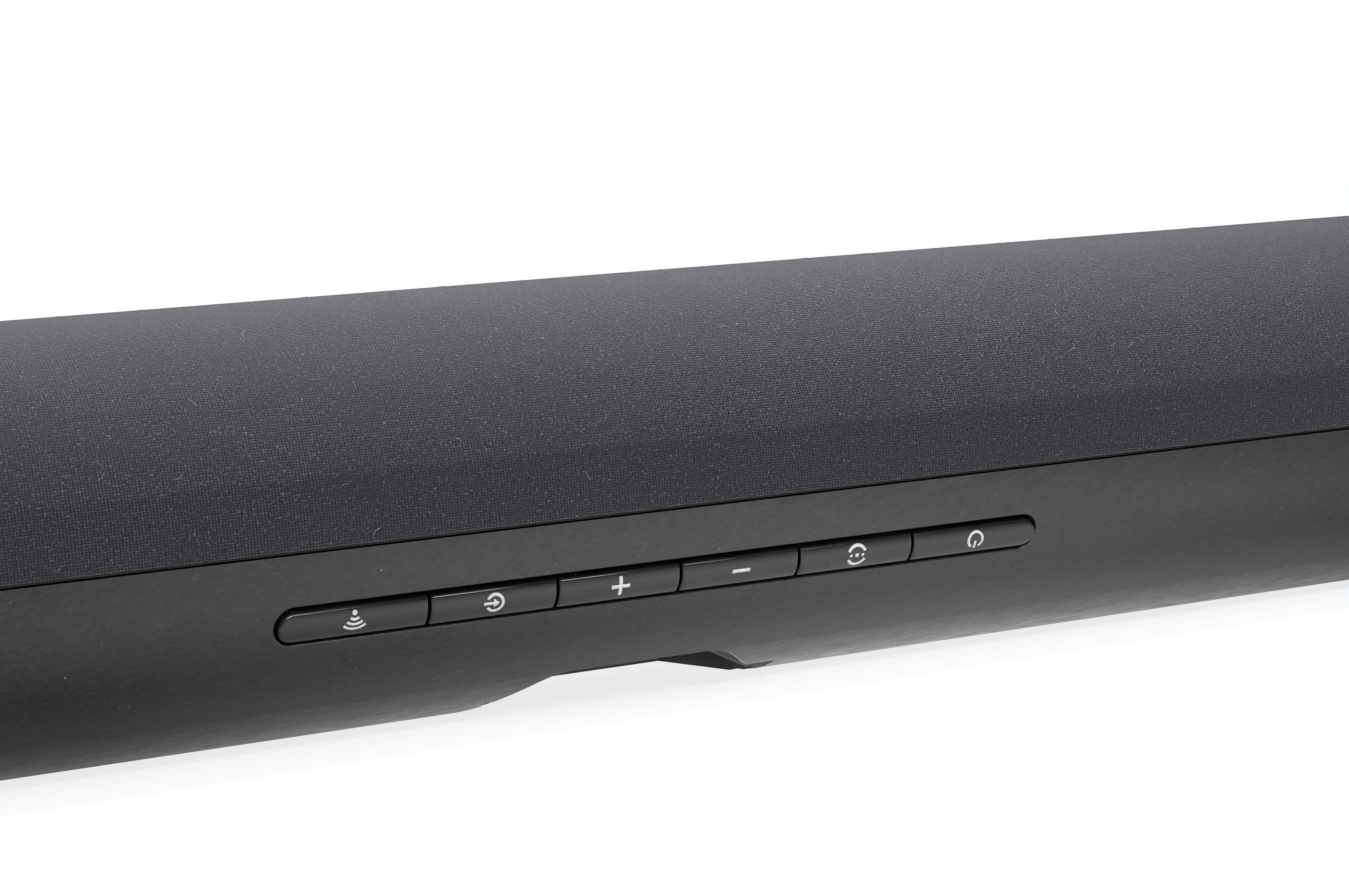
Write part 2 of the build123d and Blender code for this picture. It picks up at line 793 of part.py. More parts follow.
with BuildPart() as connector_tray:
    # hood over the channel to the notch, and the flange that lies on the base wall
    with BuildSketch(Plane.XY.offset(base_z)):
        with Locations((notch_offset, bay_rear_y)):
            Rectangle(
                notch_base_width + 2 * tray_wall,
                notch_mouth_y - bay_rear_y,
                align=(Align.CENTER, Align.MIN),
            )
    extrude(amount=notch_height + tray_wall)
    with BuildSketch(Plane.XY.offset(base_z)):
        with Locations((0, bay_front_y - tray_wall - fit_gap)):
            Rectangle(
                tray_width + 2 * tray_flange,
                tray_length + 2 * fit_gap,
                align=(Align.CENTER, Align.MIN),
            )
    extrude(amount=shell_wall + seat_gap + tray_flange_thickness)
    with BuildSketch(Plane.YZ):
        add(section_face(shell_wall + seat_gap))
    extrude(amount=tray_width, both=True, mode=Mode.INTERSECT)
    # body of the tray, which fills the opening in the base
    add(tray_body.part)
    # the bay itself
    with BuildSketch(Plane.XY.offset(base_z)):
        with Locations((0, bay_middle_y)):
            Rectangle(bay_width, bay_rear_y - bay_front_y)
    extrude(amount=bay_height, mode=Mode.SUBTRACT)
    with BuildSketch(Plane.XZ.offset(-rear_y - fit_gap)):
        with Locations((notch_offset, 0)):
            add(notch_outline())
    extrude(amount=rear_radius, mode=Mode.SUBTRACT)
    # chamfered front rim
    front_rim = (
        connector_tray.edges()
        .filter_by(Axis.X)
        .filter_by_position(Axis.Z, base_z, base_z + 2 * seat_gap)
        .filter_by_position(Axis.Y, bay_front_y - seat_gap, bay_front_y + seat_gap)
    )
    chamfer(front_rim, bay_rim_chamfer)
    # openings for the sockets in the +X wall
    with BuildSketch(socket_x_dir.offset(-seat_gap)):
        with Locations((bay_middle_y, inlet_z)):
            Rectangle(inlet_width + 2 * seat_gap, inlet_height + 2 * seat_gap)
        with Locations((optical_y, signal_z)):
            Rectangle(optical_size + 2 * seat_gap, optical_size + 2 * seat_gap)
        with Locations((aux_y, signal_z)):
            Circle(aux_radius + seat_gap)
    extrude(amount=2 * tray_wall, mode=Mode.SUBTRACT)
connector_tray.part.label = "connector_tray"
export_step(connector_tray.part, "parts/connector_tray.step")

with BuildPart() as mains_inlet:
    with BuildSketch(socket_x_dir):
        with Locations((bay_middle_y, inlet_z)):
            RectangleRounded(inlet_width, inlet_height, inlet_corner)
    extrude(amount=inlet_depth)
    with BuildSketch(socket_x_dir):
        with Locations((bay_middle_y, inlet_z)):
            SlotOverall(inlet_recess_width, inlet_recess_height)
    extrude(amount=inlet_recess_depth, mode=Mode.SUBTRACT)
    with BuildSketch(socket_x_dir):
        with Locations((bay_middle_y, inlet_z)):
            with GridLocations(inlet_pin_spacing, 1, 2, 1):
                Circle(inlet_pin_radius)
    extrude(amount=inlet_depth, mode=Mode.SUBTRACT)
mains_inlet.part.label = "mains_inlet"
export_step(mains_inlet.part, "parts/mains_inlet.step")

with BuildPart() as inlet_pins:
    with BuildSketch(socket_x_dir.offset(inlet_recess_depth - inlet_pin_length)):
        with Locations((bay_middle_y, inlet_z)):
            with GridLocations(inlet_pin_spacing, 1, 2, 1):
                Circle(inlet_pin_radius - seat_gap / 5)
    extrude(amount=inlet_depth - inlet_recess_depth + inlet_pin_length)
inlet_pins.part.label = "inlet_pins"
export_step(inlet_pins.part, "parts/inlet_pins.step")

with BuildPart() as optical_socket:
    with BuildSketch(socket_x_dir):
        with Locations((optical_y, signal_z)):
            RectangleRounded(optical_size, optical_size, optical_corner)
    extrude(amount=signal_socket_depth)
    with BuildSketch(socket_x_dir):
        with Locations((optical_y, signal_z)):
            Rectangle(optical_recess, optical_recess)
    extrude(amount=optical_recess_depth, mode=Mode.SUBTRACT)
optical_socket.part.label = "optical_socket"
export_step(optical_socket.part, "parts/optical_socket.step")

with BuildPart() as aux_socket:
    with BuildSketch(socket_x_dir):
        with Locations((aux_y, signal_z)):
            Circle(aux_radius)
    extrude(amount=signal_socket_depth)
    with BuildSketch(socket_x_dir):
        with Locations((aux_y, signal_z)):
            Circle(aux_bore_radius)
    extrude(amount=aux_bore_depth, mode=Mode.SUBTRACT)
aux_socket.part.label = "aux_socket"
export_step(aux_socket.part, "parts/aux_socket.step")

with BuildPart() as socket_board:
    with BuildSketch(Plane.YZ.offset(socket_wall_x + signal_socket_depth + seat_gap)):
        with Locations(((optical_y + aux_y) / 2, signal_z + tray_wall)):
            Rectangle(aux_y - optical_y + optical_size, optical_size)
    extrude(amount=board_thickness)
socket_board.part.label = "socket_board"
export_step(socket_board.part, "parts/socket_board.step")

# ---------------------------------------------------------------- feet, inserts and fasteners
with BuildPart() as rubber_feet:
    with BuildSketch(Plane.XY):
        with Locations(*foot_places):
            SlotOverall(foot_length, foot_width)
    extrude(amount=foot_proud + foot_pocket - seat_gap)
rubber_feet.part.label = "rubber_feet"
export_step(rubber_feet.part, "parts/rubber_feet.step")

with BuildPart() as bracket_inserts:
    with BuildSketch(Plane.XY.offset(base_z + seat_gap)):
        with Locations(*insert_places):
            Circle(insert_radius - seat_gap / 5)
            Circle(insert_core_radius, mode=Mode.SUBTRACT)
    extrude(amount=insert_length - seat_gap)
bracket_inserts.part.label = "bracket_inserts"
export_step(bracket_inserts.part, "parts/bracket_inserts.step")


def screws(places, shank_radius, shank_length, name):
    """A group of equal pan-head screws, one at each place; a place is its head's seat plane."""
    with BuildPart() as group:
        for place in places:
            with BuildSketch(place):
                Circle(screw_head_radius)
            extrude(amount=screw_head_height)
            with BuildSketch(place.offset(screw_head_height)):
                Rectangle(screw_head_radius, screw_head_height / 4)
                Rectangle(screw_head_height / 4, screw_head_radius)
            extrude(amount=-screw_head_height / 2, mode=Mode.SUBTRACT)
            with BuildSketch(place):
                Circle(shank_radius)
            extrude(amount=-shank_length)
    group.part.label = name
    return group.part


case_seat_z = base_z + screw_head_height + case_pad_height / 2 - seat_gap
case_screw_planes = [
    Plane(origin=(x, y, case_seat_z), x_dir=(1, 0, 0), z_dir=(0, 0, -1)) for x, y in case_places
]
driver_seat_y = baffle_y - driver_gasket_thickness - driver_frame_thickness - seat_gap
driver_screw_planes = [
    Plane(origin=(x, driver_seat_y, z), x_dir=(1, 0, 0), z_dir=(0, -1, 0))
    for x, z in driver_screw_places
]
board_screw_planes = [
    Plane(origin=(x, y, board_z + board_thickness + seat_gap)) for x, y in board_posts
]
key_screw_planes = [
    Plane(
        origin=key_plane.offset(-key_board_depth - board_thickness - seat_gap).from_local_coords(
            (x, 0, 0)
        ),
        x_dir=(1, 0, 0),
        z_dir=-key_normal,
    )
    for x in (-key_post_x, key_post_x)
]
thread_radius = screw_shank_radius - seat_gap / 5
export_step(
    screws(case_screw_planes, thread_radius, case_screw_length, "case_screws"),
    "parts/case_screws.step",
)
export_step(
    screws(driver_screw_planes, screw_pilot_radius, driver_screw_length, "driver_screws"),
    "parts/driver_screws.step",
)
export_step(
    screws(
        board_screw_planes + key_screw_planes, thread_radius, board_screw_length, "board_screws"
    ),
    "parts/board_screws.step",
)

# ---------------------------------------------------------------- loudspeaker drivers
frame_back = driver_gasket_thickness
frame_front = driver_gasket_thickness + driver_frame_thickness
basket_floor = -basket_depth
top_plate_front = basket_floor - seat_gap
magnet_front = top_plate_front - top_plate_thickness - seat_gap
back_plate_front = magnet_front - magnet_thickness - seat_gap
cone_edge_z = frame_back + cone_thickness
coil_front = cone_edge_z - cone_depth + cone_thickness
coil_back = top_plate_front - top_plate_thickness - coil_travel
spider_z = (basket_floor + frame_back) / 2


def driver_plane(side):
    """Plane on the baffle's front at one driver, looking out of the front of the bar."""
    return Plane(origin=(side * driver_x, baffle_y, driver_z), x_dir=(1, 0, 0), z_dir=(0, -1, 0))


def turned(side, points):
    """A ring turned about one driver's axis from its (radius, height) outline."""
    face_plane = driver_plane(side)
    half = Plane(origin=face_plane.origin, x_dir=(1, 0, 0), z_dir=(0, 0, -1))
    with BuildPart() as ring:
        with BuildSketch(half):
            with BuildLine():
                Polyline(*points, close=True)
            make_face()
        revolve(axis=Axis(face_plane.origin, face_plane.z_dir))
    return ring.part


def arched(side, inner, outer, foot, rise, thickness):
    """A ring with a half-round roll between two radii, like a rubber surround."""
    face_plane = driver_plane(side)
    half = Plane(origin=face_plane.origin, x_dir=(1, 0, 0), z_dir=(0, 0, -1))
    middle = (inner + outer) / 2
    with BuildPart() as ring:
        with BuildSketch(half):
            with BuildLine():
                ThreePointArc((inner, foot), (middle, foot + rise), (outer, foot))
                Line((outer, foot), (outer - thickness, foot))
                ThreePointArc(
                    (outer - thickness, foot),
                    (middle, foot + rise - thickness),
                    (inner + thickness, foot),
                )
                Line((inner + thickness, foot), (inner, foot))
            make_face()
        revolve(axis=Axis(face_plane.origin, face_plane.z_dir))
    return ring.part


def basket(side):
    """Pressed basket: square frame, four windows in its wall, and a foot ring."""
    face_plane = driver_plane(side)
    rim = surround_outer_radius + fit_gap + basket_wall
    wall_points = [
        (rim, frame_back),
        (rim, frame_front),
        (rim - basket_wall, frame_front),
        (rim - basket_wall, frame_back),
        (basket_foot_radius, basket_floor + basket_wall),
        (coil_radius + 2 * basket_wall, basket_floor + basket_wall),
        (coil_radius + 2 * basket_wall, basket_floor),
        (basket_foot_radius + basket_wall, basket_floor),
    ]
    with BuildPart() as body:
        add(turned(side, wall_points))
        with BuildSketch(face_plane.offset(basket_floor + 2 * basket_wall)):
            for turn in range(4):
                with Locations(Rotation(0, 0, 45 + 90 * turn)):
                    with Locations((rim, 0)):
                        Rectangle(rim, rim / 2)
        extrude(amount=frame_back - basket_floor - 4 * basket_wall, mode=Mode.SUBTRACT)
        with BuildSketch(face_plane.offset(frame_back)):
            RectangleRounded(driver_frame_size, driver_frame_size, driver_frame_corner)
            Circle(rim - basket_wall, mode=Mode.SUBTRACT)
            with GridLocations(2 * driver_screw_offset, 2 * driver_screw_offset, 2, 2):
                Circle(screw_pilot_radius + fit_gap, mode=Mode.SUBTRACT)
        extrude(amount=driver_frame_thickness)
    return body.part


def dust_cap(side):
    """Thin dome over the coil, glued to the cone."""
    half = Plane(origin=driver_plane(side).origin, x_dir=(1, 0, 0), z_dir=(0, 0, -1))
    radius = cone_neck_radius + 2 * cone_thickness
    foot = cone_edge_z - cone_depth + 3 * cone_thickness + seat_gap
    rise = cone_depth / 2
    inner_radius = radius - cone_thickness
    inner_rise = rise - cone_thickness
    with BuildPart() as dome:
        with BuildSketch(half):
            with BuildLine():
                outer = RadiusArc((radius, foot), (0, foot + rise), -dome_radius(radius, rise))
                Line(outer @ 1, (0, foot + inner_rise))
                inner = RadiusArc(
                    (0, foot + inner_rise),
                    (inner_radius, foot),
                    dome_radius(inner_radius, inner_rise),
                )
                Line(inner @ 1, outer @ 0)
            make_face()
        revolve(axis=Axis(half.origin, driver_plane(side).z_dir))
    return dome.part


def dome_radius(chord, rise):
    """Radius of the sphere under a cap of this half-width and height."""
    return (chord**2 + rise**2) / (2 * rise)


def driver_pieces(side):
    """All pieces of one driver, by name."""
    neck = cone_neck_radius
    low = cone_edge_z - cone_depth
    former = coil_radius + coil_former_thickness
    winding = former + coil_winding_thickness
    coil_pieces = turned(
        side,
        [
            (coil_radius, coil_back),
            (winding, coil_back),
            (winding, coil_back + top_plate_thickness + 2 * coil_travel),
            (former, coil_back + top_plate_thickness + 2 * coil_travel),
            (former, coil_front - seat_gap),
            (coil_radius, coil_front - seat_gap),
        ],
    )
    cone = turned(
        side,
        [
            (neck, low),
            (neck, low + 2 * cone_thickness),
            (cone_outer_radius - 2 * cone_thickness, cone_edge_z),
            (cone_outer_radius, cone_edge_z),
            (cone_outer_radius, cone_edge_z - cone_thickness),
            (cone_outer_radius - cone_thickness, cone_edge_z - cone_thickness),
            (neck + cone_thickness, low),
        ],
    )
    spider_inner = former + seat_gap
    step = (spider_outer_radius - spider_inner) / spider_steps
    upper = [
        (spider_inner + index * step, spider_z + (index % 2) * spider_rise)
        for index in range(spider_steps + 1)
    ]
    lower = [(radius, height - spider_thickness) for radius, height in reversed(upper)]
    return {
        "basket": basket(side),
        "surround": arched(
            side,
            cone_outer_radius + seat_gap,
            surround_outer_radius,
            cone_edge_z,
            roll_height,
            cone_thickness,
        ),
        "cone": cone,
        "dust_cap": dust_cap(side),
        "voice_coil": coil_pieces,
        "spider": turned(side, upper + lower),
        "top_plate": turned(
            side,
            [
                (top_plate_bore, top_plate_front),
                (top_plate_radius, top_plate_front),
                (top_plate_radius, top_plate_front - top_plate_thickness),
                (top_plate_bore, top_plate_front - top_plate_thickness),
            ],
        ),
        "magnet": turned(
            side,
            [
                (magnet_bore, magnet_front),
                (magnet_radius, magnet_front),
                (magnet_radius, magnet_front - magnet_thickness),
                (magnet_bore, magnet_front - magnet_thickness),
            ],
        ),
        "back_plate": turned(
            side,
            [
                (0, top_plate_front),
                (pole_radius, top_plate_front),
                (pole_radius, back_plate_front),
                (back_plate_radius, back_plate_front),
                (back_plate_radius, back_plate_front - back_plate_thickness),
                (0, back_plate_front - back_plate_thickness),
            ],
        ),
    }


for side, side_name in ((-1, "left_"), (1, "right_")):
    for piece_name, piece in driver_pieces(side).items():
        piece.label = side_name + piece_name
        export_step(piece, "parts/" + side_name + piece_name + ".step")

with BuildPart() as driver_gaskets:
    for side in (-1, 1):
        with BuildSketch(driver_plane(side).offset(seat_gap / 2)):
            RectangleRounded(driver_frame_size, driver_frame_size, driver_frame_corner)
            Circle(driver_cutout_radius, mode=Mode.SUBTRACT)
            with GridLocations(2 * driver_screw_offset, 2 * driver_screw_offset, 2, 2):
                Circle(screw_pilot_radius + fit_gap, mode=Mode.SUBTRACT)
        extrude(amount=driver_gasket_thickness - seat_gap)
driver_gaskets.part.label = "driver_gaskets"
export_step(driver_gaskets.part, "parts/driver_gaskets.step")

# ---------------------------------------------------------------- electronics
board_top_z = board_z + board_thickness


def circuit_board(side, name):
    """One of the two boards that lie on the posts either side of the bay."""
    with BuildPart() as board:
        with BuildSketch(Plane.XY.offset(board_z)):
            with Locations((side * board_x, (board_front_y + board_rear_y) / 2)):
                RectangleRounded(board_length, board_rear_y - board_front_y, board_corner)
            with Locations(*board_posts):
                Circle(screw_clearance_radius, mode=Mode.SUBTRACT)
        extrude(amount=board_thickness)
    board.part.label = name
    return board.part


export_step(circuit_board(1, "main_board"), "parts/main_board.step")
export_step(circuit_board(-1, "power_board"), "parts/power_board.step")

with BuildPart() as amplifier_heatsink:
    with BuildSketch(Plane.XY.offset(board_top_z + seat_gap)):
        with Locations((heatsink_x, 0)):
            Rectangle(heatsink_length, heatsink_width)
    extrude(amount=heatsink_base)
    with BuildSketch(Plane.XY.offset(board_top_z + seat_gap)):
        with Locations((heatsink_x, 0)):
            with GridLocations(
                0, (heatsink_width - heatsink_fin) / (heatsink_fins - 1), 1, heatsink_fins
            ):
                Rectangle(heatsink_length, heatsink_fin)
    extrude(amount=heatsink_height)
amplifier_heatsink.part.label = "amplifier_heatsink"
export_step(amplifier_heatsink.part, "parts/amplifier_heatsink.step")

with BuildPart() as power_transformer:
    with BuildSketch(Plane.XY.offset(board_top_z + seat_gap)):
        with Locations((-board_x, 0)):
            Rectangle(transformer_size, transformer_size)
    extrude(amount=transformer_height)
    fillet(power_transformer.edges().filter_by(Axis.Z), transformer_corner)
power_transformer.part.label = "power_transformer"
export_step(power_transformer.part, "parts/power_transformer.step")

capacitor_x = board_x + transformer_size
with BuildPart() as capacitors:
    with BuildSketch(Plane.XY.offset(board_top_z + seat_gap)):
        with Locations((-capacitor_x, 0)):
            with GridLocations(0, capacitor_spacing, 1, 2):
                Circle(capacitor_radius)
    extrude(amount=capacitor_height)
    fillet(capacitors.edges().group_by(Axis.Z)[-1], capacitor_edge_radius)
capacitors.part.label = "capacitors"
export_step(capacitors.part, "parts/capacitors.step")

light_z = base_z + light_rise
light_board_y = baffle_back_y + 2 * seat_gap + light_pipe_flange
with BuildPart() as light_pipe:
    with BuildSketch(Plane.XZ.offset(-(light_board_y - seat_gap))):
        with Locations((0, light_z)):
            Circle(light_pipe_flange_radius)
    extrude(amount=light_pipe_flange)
    with BuildSketch(Plane.XZ.offset(-(light_board_y - seat_gap))):
        with Locations((0, light_z)):
            Circle(light_pipe_radius)
    extrude(amount=light_board_y - 2 * seat_gap - front_y - grille_inset)
light_pipe.part.label = "light_pipe"
export_step(light_pipe.part, "parts/light_pipe.step")

with BuildPart() as light_board:
    with BuildSketch(Plane.XZ.offset(-light_board_y)):
        with Locations((0, light_z)):
            RectangleRounded(light_board_length, light_board_height, light_board_corner)
    extrude(amount=-board_thickness)
light_board.part.label = "light_board"
export_step(light_board.part, "parts/light_board.step")

# Lead from the main board to each driver, through the holes in the chamber walls
with BuildPart() as speaker_wires:
    for side, start_x in ((1, wire_start_x), (-1, wire_start_x - wire_pitch)):
        with BuildLine() as route:
            FilletPolyline(
                (start_x, wire_y, board_top_z + seat_gap),
                (start_x, wire_y, wire_z),
                (side * driver_x, wire_y, wire_z),
                (side * driver_x, wire_y, driver_z),
                radius=wire_bend_radius,
            )
        with BuildSketch(Plane.XY.offset(board_top_z + seat_gap)):
            with Locations((start_x, wire_y)):
                Circle(wire_radius)
        sweep(path=route.line)
speaker_wires.part.label = "speaker_wires"
export_step(speaker_wires.part, "parts/speaker_wires.step")

# Flat ribbon from the key board down to the main board
ribbon_start = key_plane.offset(-key_board_depth - board_thickness - seat_gap).origin
ribbon_step = -key_normal * ribbon_stub
with BuildPart() as key_ribbon:
    with BuildSketch(Plane.YZ.offset(ribbon_x)):
        with BuildLine():
            FilletPolyline(
                (ribbon_start.Y, ribbon_start.Z),
                (ribbon_start.Y + ribbon_step.Y, ribbon_start.Z + ribbon_step.Z),
                (board_rear_y - board_post_margin, (ribbon_start.Z + board_top_z) / 2),
                (board_rear_y - board_post_margin, board_top_z + 2 * seat_gap),
                radius=ribbon_bend_radius,
            )
        trace(line_width=ribbon_thickness)
    extrude(amount=ribbon_width / 2, both=True)
key_ribbon.part.label = "key_ribbon"
export_step(key_ribbon.part, "parts/key_ribbon.step")
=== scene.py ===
import bpy
import bmesh
import json
import math
from mathutils import Matrix, Vector


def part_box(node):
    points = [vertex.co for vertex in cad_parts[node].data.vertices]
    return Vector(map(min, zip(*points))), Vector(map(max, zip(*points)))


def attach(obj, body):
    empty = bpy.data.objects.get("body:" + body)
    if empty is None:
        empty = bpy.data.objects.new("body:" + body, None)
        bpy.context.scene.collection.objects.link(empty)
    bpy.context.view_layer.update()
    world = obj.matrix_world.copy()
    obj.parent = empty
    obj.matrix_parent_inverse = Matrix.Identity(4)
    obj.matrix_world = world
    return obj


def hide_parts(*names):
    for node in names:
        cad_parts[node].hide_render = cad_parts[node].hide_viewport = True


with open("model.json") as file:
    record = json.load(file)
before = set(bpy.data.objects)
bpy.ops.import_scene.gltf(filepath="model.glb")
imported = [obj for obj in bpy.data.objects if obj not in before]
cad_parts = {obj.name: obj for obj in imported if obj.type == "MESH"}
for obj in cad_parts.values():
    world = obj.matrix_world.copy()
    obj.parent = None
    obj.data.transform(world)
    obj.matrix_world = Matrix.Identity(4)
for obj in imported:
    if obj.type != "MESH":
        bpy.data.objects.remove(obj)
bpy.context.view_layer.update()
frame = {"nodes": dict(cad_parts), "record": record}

mm = 0.001

# ---------------------------------------------------------------- rear shell and end caps
# The lower shell and the end caps are injection-moulded ABS, dyed black, with a fine satin grain
# from the tool. The key slot and the cable notch are moulded in. The large faces show slow flow
# waves and fine streaks where the plastic cooled, and they have picked up specks of dust.


def linear(code):
    """Linear RGBA of an sRGB hex colour."""
    channels = [int(code[start:start + 2], 16) / 255 for start in (1, 3, 5)]
    toned = [c / 12.92 if c <= 0.04045 else ((c + 0.055) / 1.055) ** 2.4 for c in channels]
    return (*toned, 1.0)


def add_node(holder, kind, settings=None, links=None):
    """One new node in a tree or its holder, with its settings made and its inputs linked."""
    tree = getattr(holder, "node_tree", holder)
    node = tree.nodes.new(kind)
    for name, value in (settings or {}).items():
        if isinstance(name, str) and name in node.bl_rna.properties:
            setattr(node, name, value)
    for name, value in (settings or {}).items():
        if not (isinstance(name, str) and name in node.bl_rna.properties):
            node.inputs[name].default_value = value
    for name, source in (links or {}).items():
        tree.links.new(source, node.inputs[name])
    return node


def new_material(name):
    """A node material with its shader, and the object's own coordinates."""
    material = bpy.data.materials.new(name)
    material.use_nodes = True
    shader = material.node_tree.nodes["Principled BSDF"]
    place = add_node(material, "ShaderNodeTexCoord").outputs["Object"]
    return material, shader, place


def specks(material, place, spacing, radius, share):
    """Mask of small round specks, in a share of the cells of a random grid."""
    cells = add_node(
        material, "ShaderNodeTexVoronoi", {"Scale": 1 / spacing}, {"Vector": place}
    )
    lucky = add_node(
        material, "ShaderNodeSeparateColor", None, {"Color": cells.outputs["Color"]}
    )
    inside = add_node(
        material,
        "ShaderNodeMapRange",
        {
            "interpolation_type": "SMOOTHSTEP",
            "From Min": radius / spacing,
            "From Max": 0.5 * radius / spacing,
        },
        {"Value": cells.outputs["Distance"]},
    ).outputs["Result"]
    chosen = add_node(
        material,
        "ShaderNodeMapRange",
        {"interpolation_type": "SMOOTHSTEP", "From Min": 1 - share, "From Max": 1 - share + 0.01},
        {"Value": lucky.outputs["Red"]},
    ).outputs["Result"]
    return add_node(
        material, "ShaderNodeMath", {"operation": "MULTIPLY"}, {0: inside, 1: chosen}
    ).outputs[0]


def moulded(
    name, colour, worn, roughness, grain, depth, wave=0.0, streak=None, dust=0.0, wall_shade=None
):
    """Injection-moulded plastic: grain in its tool, slow waves, and dust that has settled.

    A wall_shade is the y and z of a section's axis and its radius: walls inside it are matt, and
    their colour is painted darker as the shade in the notch and slot.
    """
    material, shader, place = new_material(name)
    # a slow mottle of wear, and the grain of the tool
    mottle = add_node(
        material, "ShaderNodeTexNoise", {"Scale": 1 / (9 * mm), "Detail": 4.0}, {"Vector": place}
    ).outputs["Fac"]
    worn_share = add_node(
        material,
        "ShaderNodeMapRange",
        {"interpolation_type": "SMOOTHSTEP", "From Min": 0.35, "From Max": 0.75},
        {"Value": mottle},
    ).outputs["Result"]
    body = add_node(
        material,
        "ShaderNodeMix",
        {"data_type": "RGBA", 6: linear(colour), 7: linear(worn)},
        {0: worn_share},
    ).outputs[2]
    grit = add_node(
        material, "ShaderNodeTexNoise", {"Scale": 1 / grain, "Detail": 2.0}, {"Vector": place}
    ).outputs["Fac"]
    gloss_pattern = mottle
    bump = add_node(
        material, "ShaderNodeBump", {"Strength": 1.0, "Distance": depth}, {"Height": grit}
    ).outputs["Normal"]
    if wave:
        # flow lines run along the bar, four times as long as wide and a little turned
        turned = add_node(
            material,
            "ShaderNodeMapping",
            {"vector_type": "TEXTURE", "Rotation": (0.0, 0.42, 0.0), "Scale": (4.0, 1.0, 1.0)},
            {"Vector": place},
        ).outputs["Vector"]
        flow = add_node(
            material,
            "ShaderNodeTexNoise",
            {"Scale": 1 / (1.7 * mm), "Detail": 3.0, "Distortion": 0.4},
            {"Vector": turned},
        ).outputs["Fac"]
        bump = add_node(
            material,
            "ShaderNodeBump",
            {"Strength": 1.0, "Distance": wave},
            {"Height": flow, "Normal": bump},
        ).outputs["Normal"]
        fine_flow = add_node(
            material,
            "ShaderNodeTexNoise",
            {"Scale": 1 / (0.42 * mm), "Detail": 3.0},
            {"Vector": turned},
        ).outputs["Fac"]
        streak_share = add_node(
            material,
            "ShaderNodeMapRange",
            {"interpolation_type": "SMOOTHSTEP", "From Min": 0.42, "From Max": 0.72},
            {"Value": fine_flow},
        ).outputs["Result"]
        body = add_node(
            material,
            "ShaderNodeMix",
            {"data_type": "RGBA", 7: linear(streak)},
            {0: streak_share, 6: body},
        ).outputs[2]
        gloss_pattern = flow
    if dust:
        # coarse specks and fine ones, drawn larger than real dust so that they show
        settled = specks(material, place, 3.4 * mm, 0.17 * mm, dust)
        fine = specks(material, place, 1.3 * mm, 0.09 * mm, 0.5 * dust)
        both = add_node(
            material, "ShaderNodeMath", {"operation": "MAXIMUM"}, {0: settled, 1: fine}
        ).outputs[0]
        body = add_node(
            material,
            "ShaderNodeMix",
            {"data_type": "RGBA", 7: linear("#a3a5a7")},
            {0: both, 6: body},
        ).outputs[2]
    gloss = add_node(
        material,
        "ShaderNodeMapRange",
        {"From Min": 0.3, "From Max": 0.7, "To Min": roughness - 0.06, "To Max": roughness + 0.08},
        {"Value": gloss_pattern},
    ).outputs["Result"]
    if wall_shade:
        axis_y, axis_z, radius = wall_shade
        section_place = add_node(
            material,
            "ShaderNodeVectorMath",
            {"operation": "MULTIPLY", 1: (0.0, 1.0, 1.0)},
            {0: place},
        ).outputs["Vector"]
        from_axis = add_node(
            material,
            "ShaderNodeVectorMath",
            {"operation": "DISTANCE", 1: (0.0, axis_y, axis_z)},
            {0: section_place},
        ).outputs["Value"]
        inside = add_node(
            material,
            "ShaderNodeMapRange",
            {
                "interpolation_type": "SMOOTHSTEP",
                "From Min": radius - 0.2 * mm,
                "From Max": radius - 0.35 * mm,
            },
            {"Value": from_axis},
        ).outputs["Result"]
        # painted shade: walls inside the radius take a near-black colour, standing in for the shade
        # in the notch and slot
        body = add_node(
            material,
            "ShaderNodeMix",
            {"data_type": "RGBA", 7: linear("#08090b")},
            {0: inside, 6: body},
        ).outputs[2]
        gloss = add_node(
            material, "ShaderNodeMix", {"data_type": "FLOAT", 3: 0.75}, {0: inside, 2: gloss}
        ).outputs[0]
    material.node_tree.links.new(body, shader.inputs["Base Color"])
    material.node_tree.links.new(gloss, shader.inputs["Roughness"])
    material.node_tree.links.new(bump, shader.inputs["Normal"])
    return material


def finish_nodes(material, names):
    """Gives CAD nodes their real material."""
    for name in names:
        for material_slot in frame["nodes"][name].material_slots:
            material_slot.material = material


# Only the shell's outer skin is satin: the walls of its notch and slot keep a matt finish, and their
# colour is painted darker, as shade.
shell_low, shell_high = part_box("rear_shell")
rear_radius = 33.5 * mm
shell_wall_shade = (shell_high.y - rear_radius, shell_low.z + rear_radius, rear_radius)
for name, wall_shade, nodes in (
    ("satin_shell_abs", shell_wall_shade, ["rear_shell"]),
    ("satin_end_cap_abs", None, ["left_end_cap", "right_end_cap"]),
):
    satin_abs = moulded(
        name,
        "#090a0d",
        "#111215",
        0.27,
        0.35 * mm,
        0.012 * mm,
        wave=0.05 * mm,
        streak="#242528",
        dust=0.2,
        wall_shade=wall_shade,
    )
    finish_nodes(satin_abs, nodes)

# ---------------------------------------------------------------- key caps
# Six caps share one slot. Each is moulded ABS, a little glossier than the shell, crowned across
# its height with rounded shoulders. A flange behind the wall keeps it in, and a stem reaches
# back to its switch. The symbols are white pad-printed ink.
key_names = ["wireless", "source", "volume_up", "volume_down", "surround", "power"]
press = next(joint for joint in frame["record"]["behaviour"]["joints"] if "press" in joint["name"])
key_out = -Vector(press["axis"]).normalized()
key_right = Vector((-1.0, 0.0, 0.0))
key_up = key_out.cross(key_right)
cap_half = 2.55 * mm
cap_crown = 0.75 * mm
shoulder = 0.5 * mm
flange_half = 3.8 * mm
flange_depth = (3.3 * mm, 4.5 * mm)
stem_radius = 1.6 * mm
stem_end = 6.4 * mm
stem_sides = 24
flange_lap = 0.05 * mm
stem_lap = 0.2 * mm
flange_corner = 1.0 * mm
flange_end_gap = 0.475 * mm
cap_proud = 0.65 * mm
arc_steps = 10
side_steps = 10
shoulder_steps = 6
crown_rings = (0.35, 0.6, 0.8, 0.93)
weld = 0.002 * mm


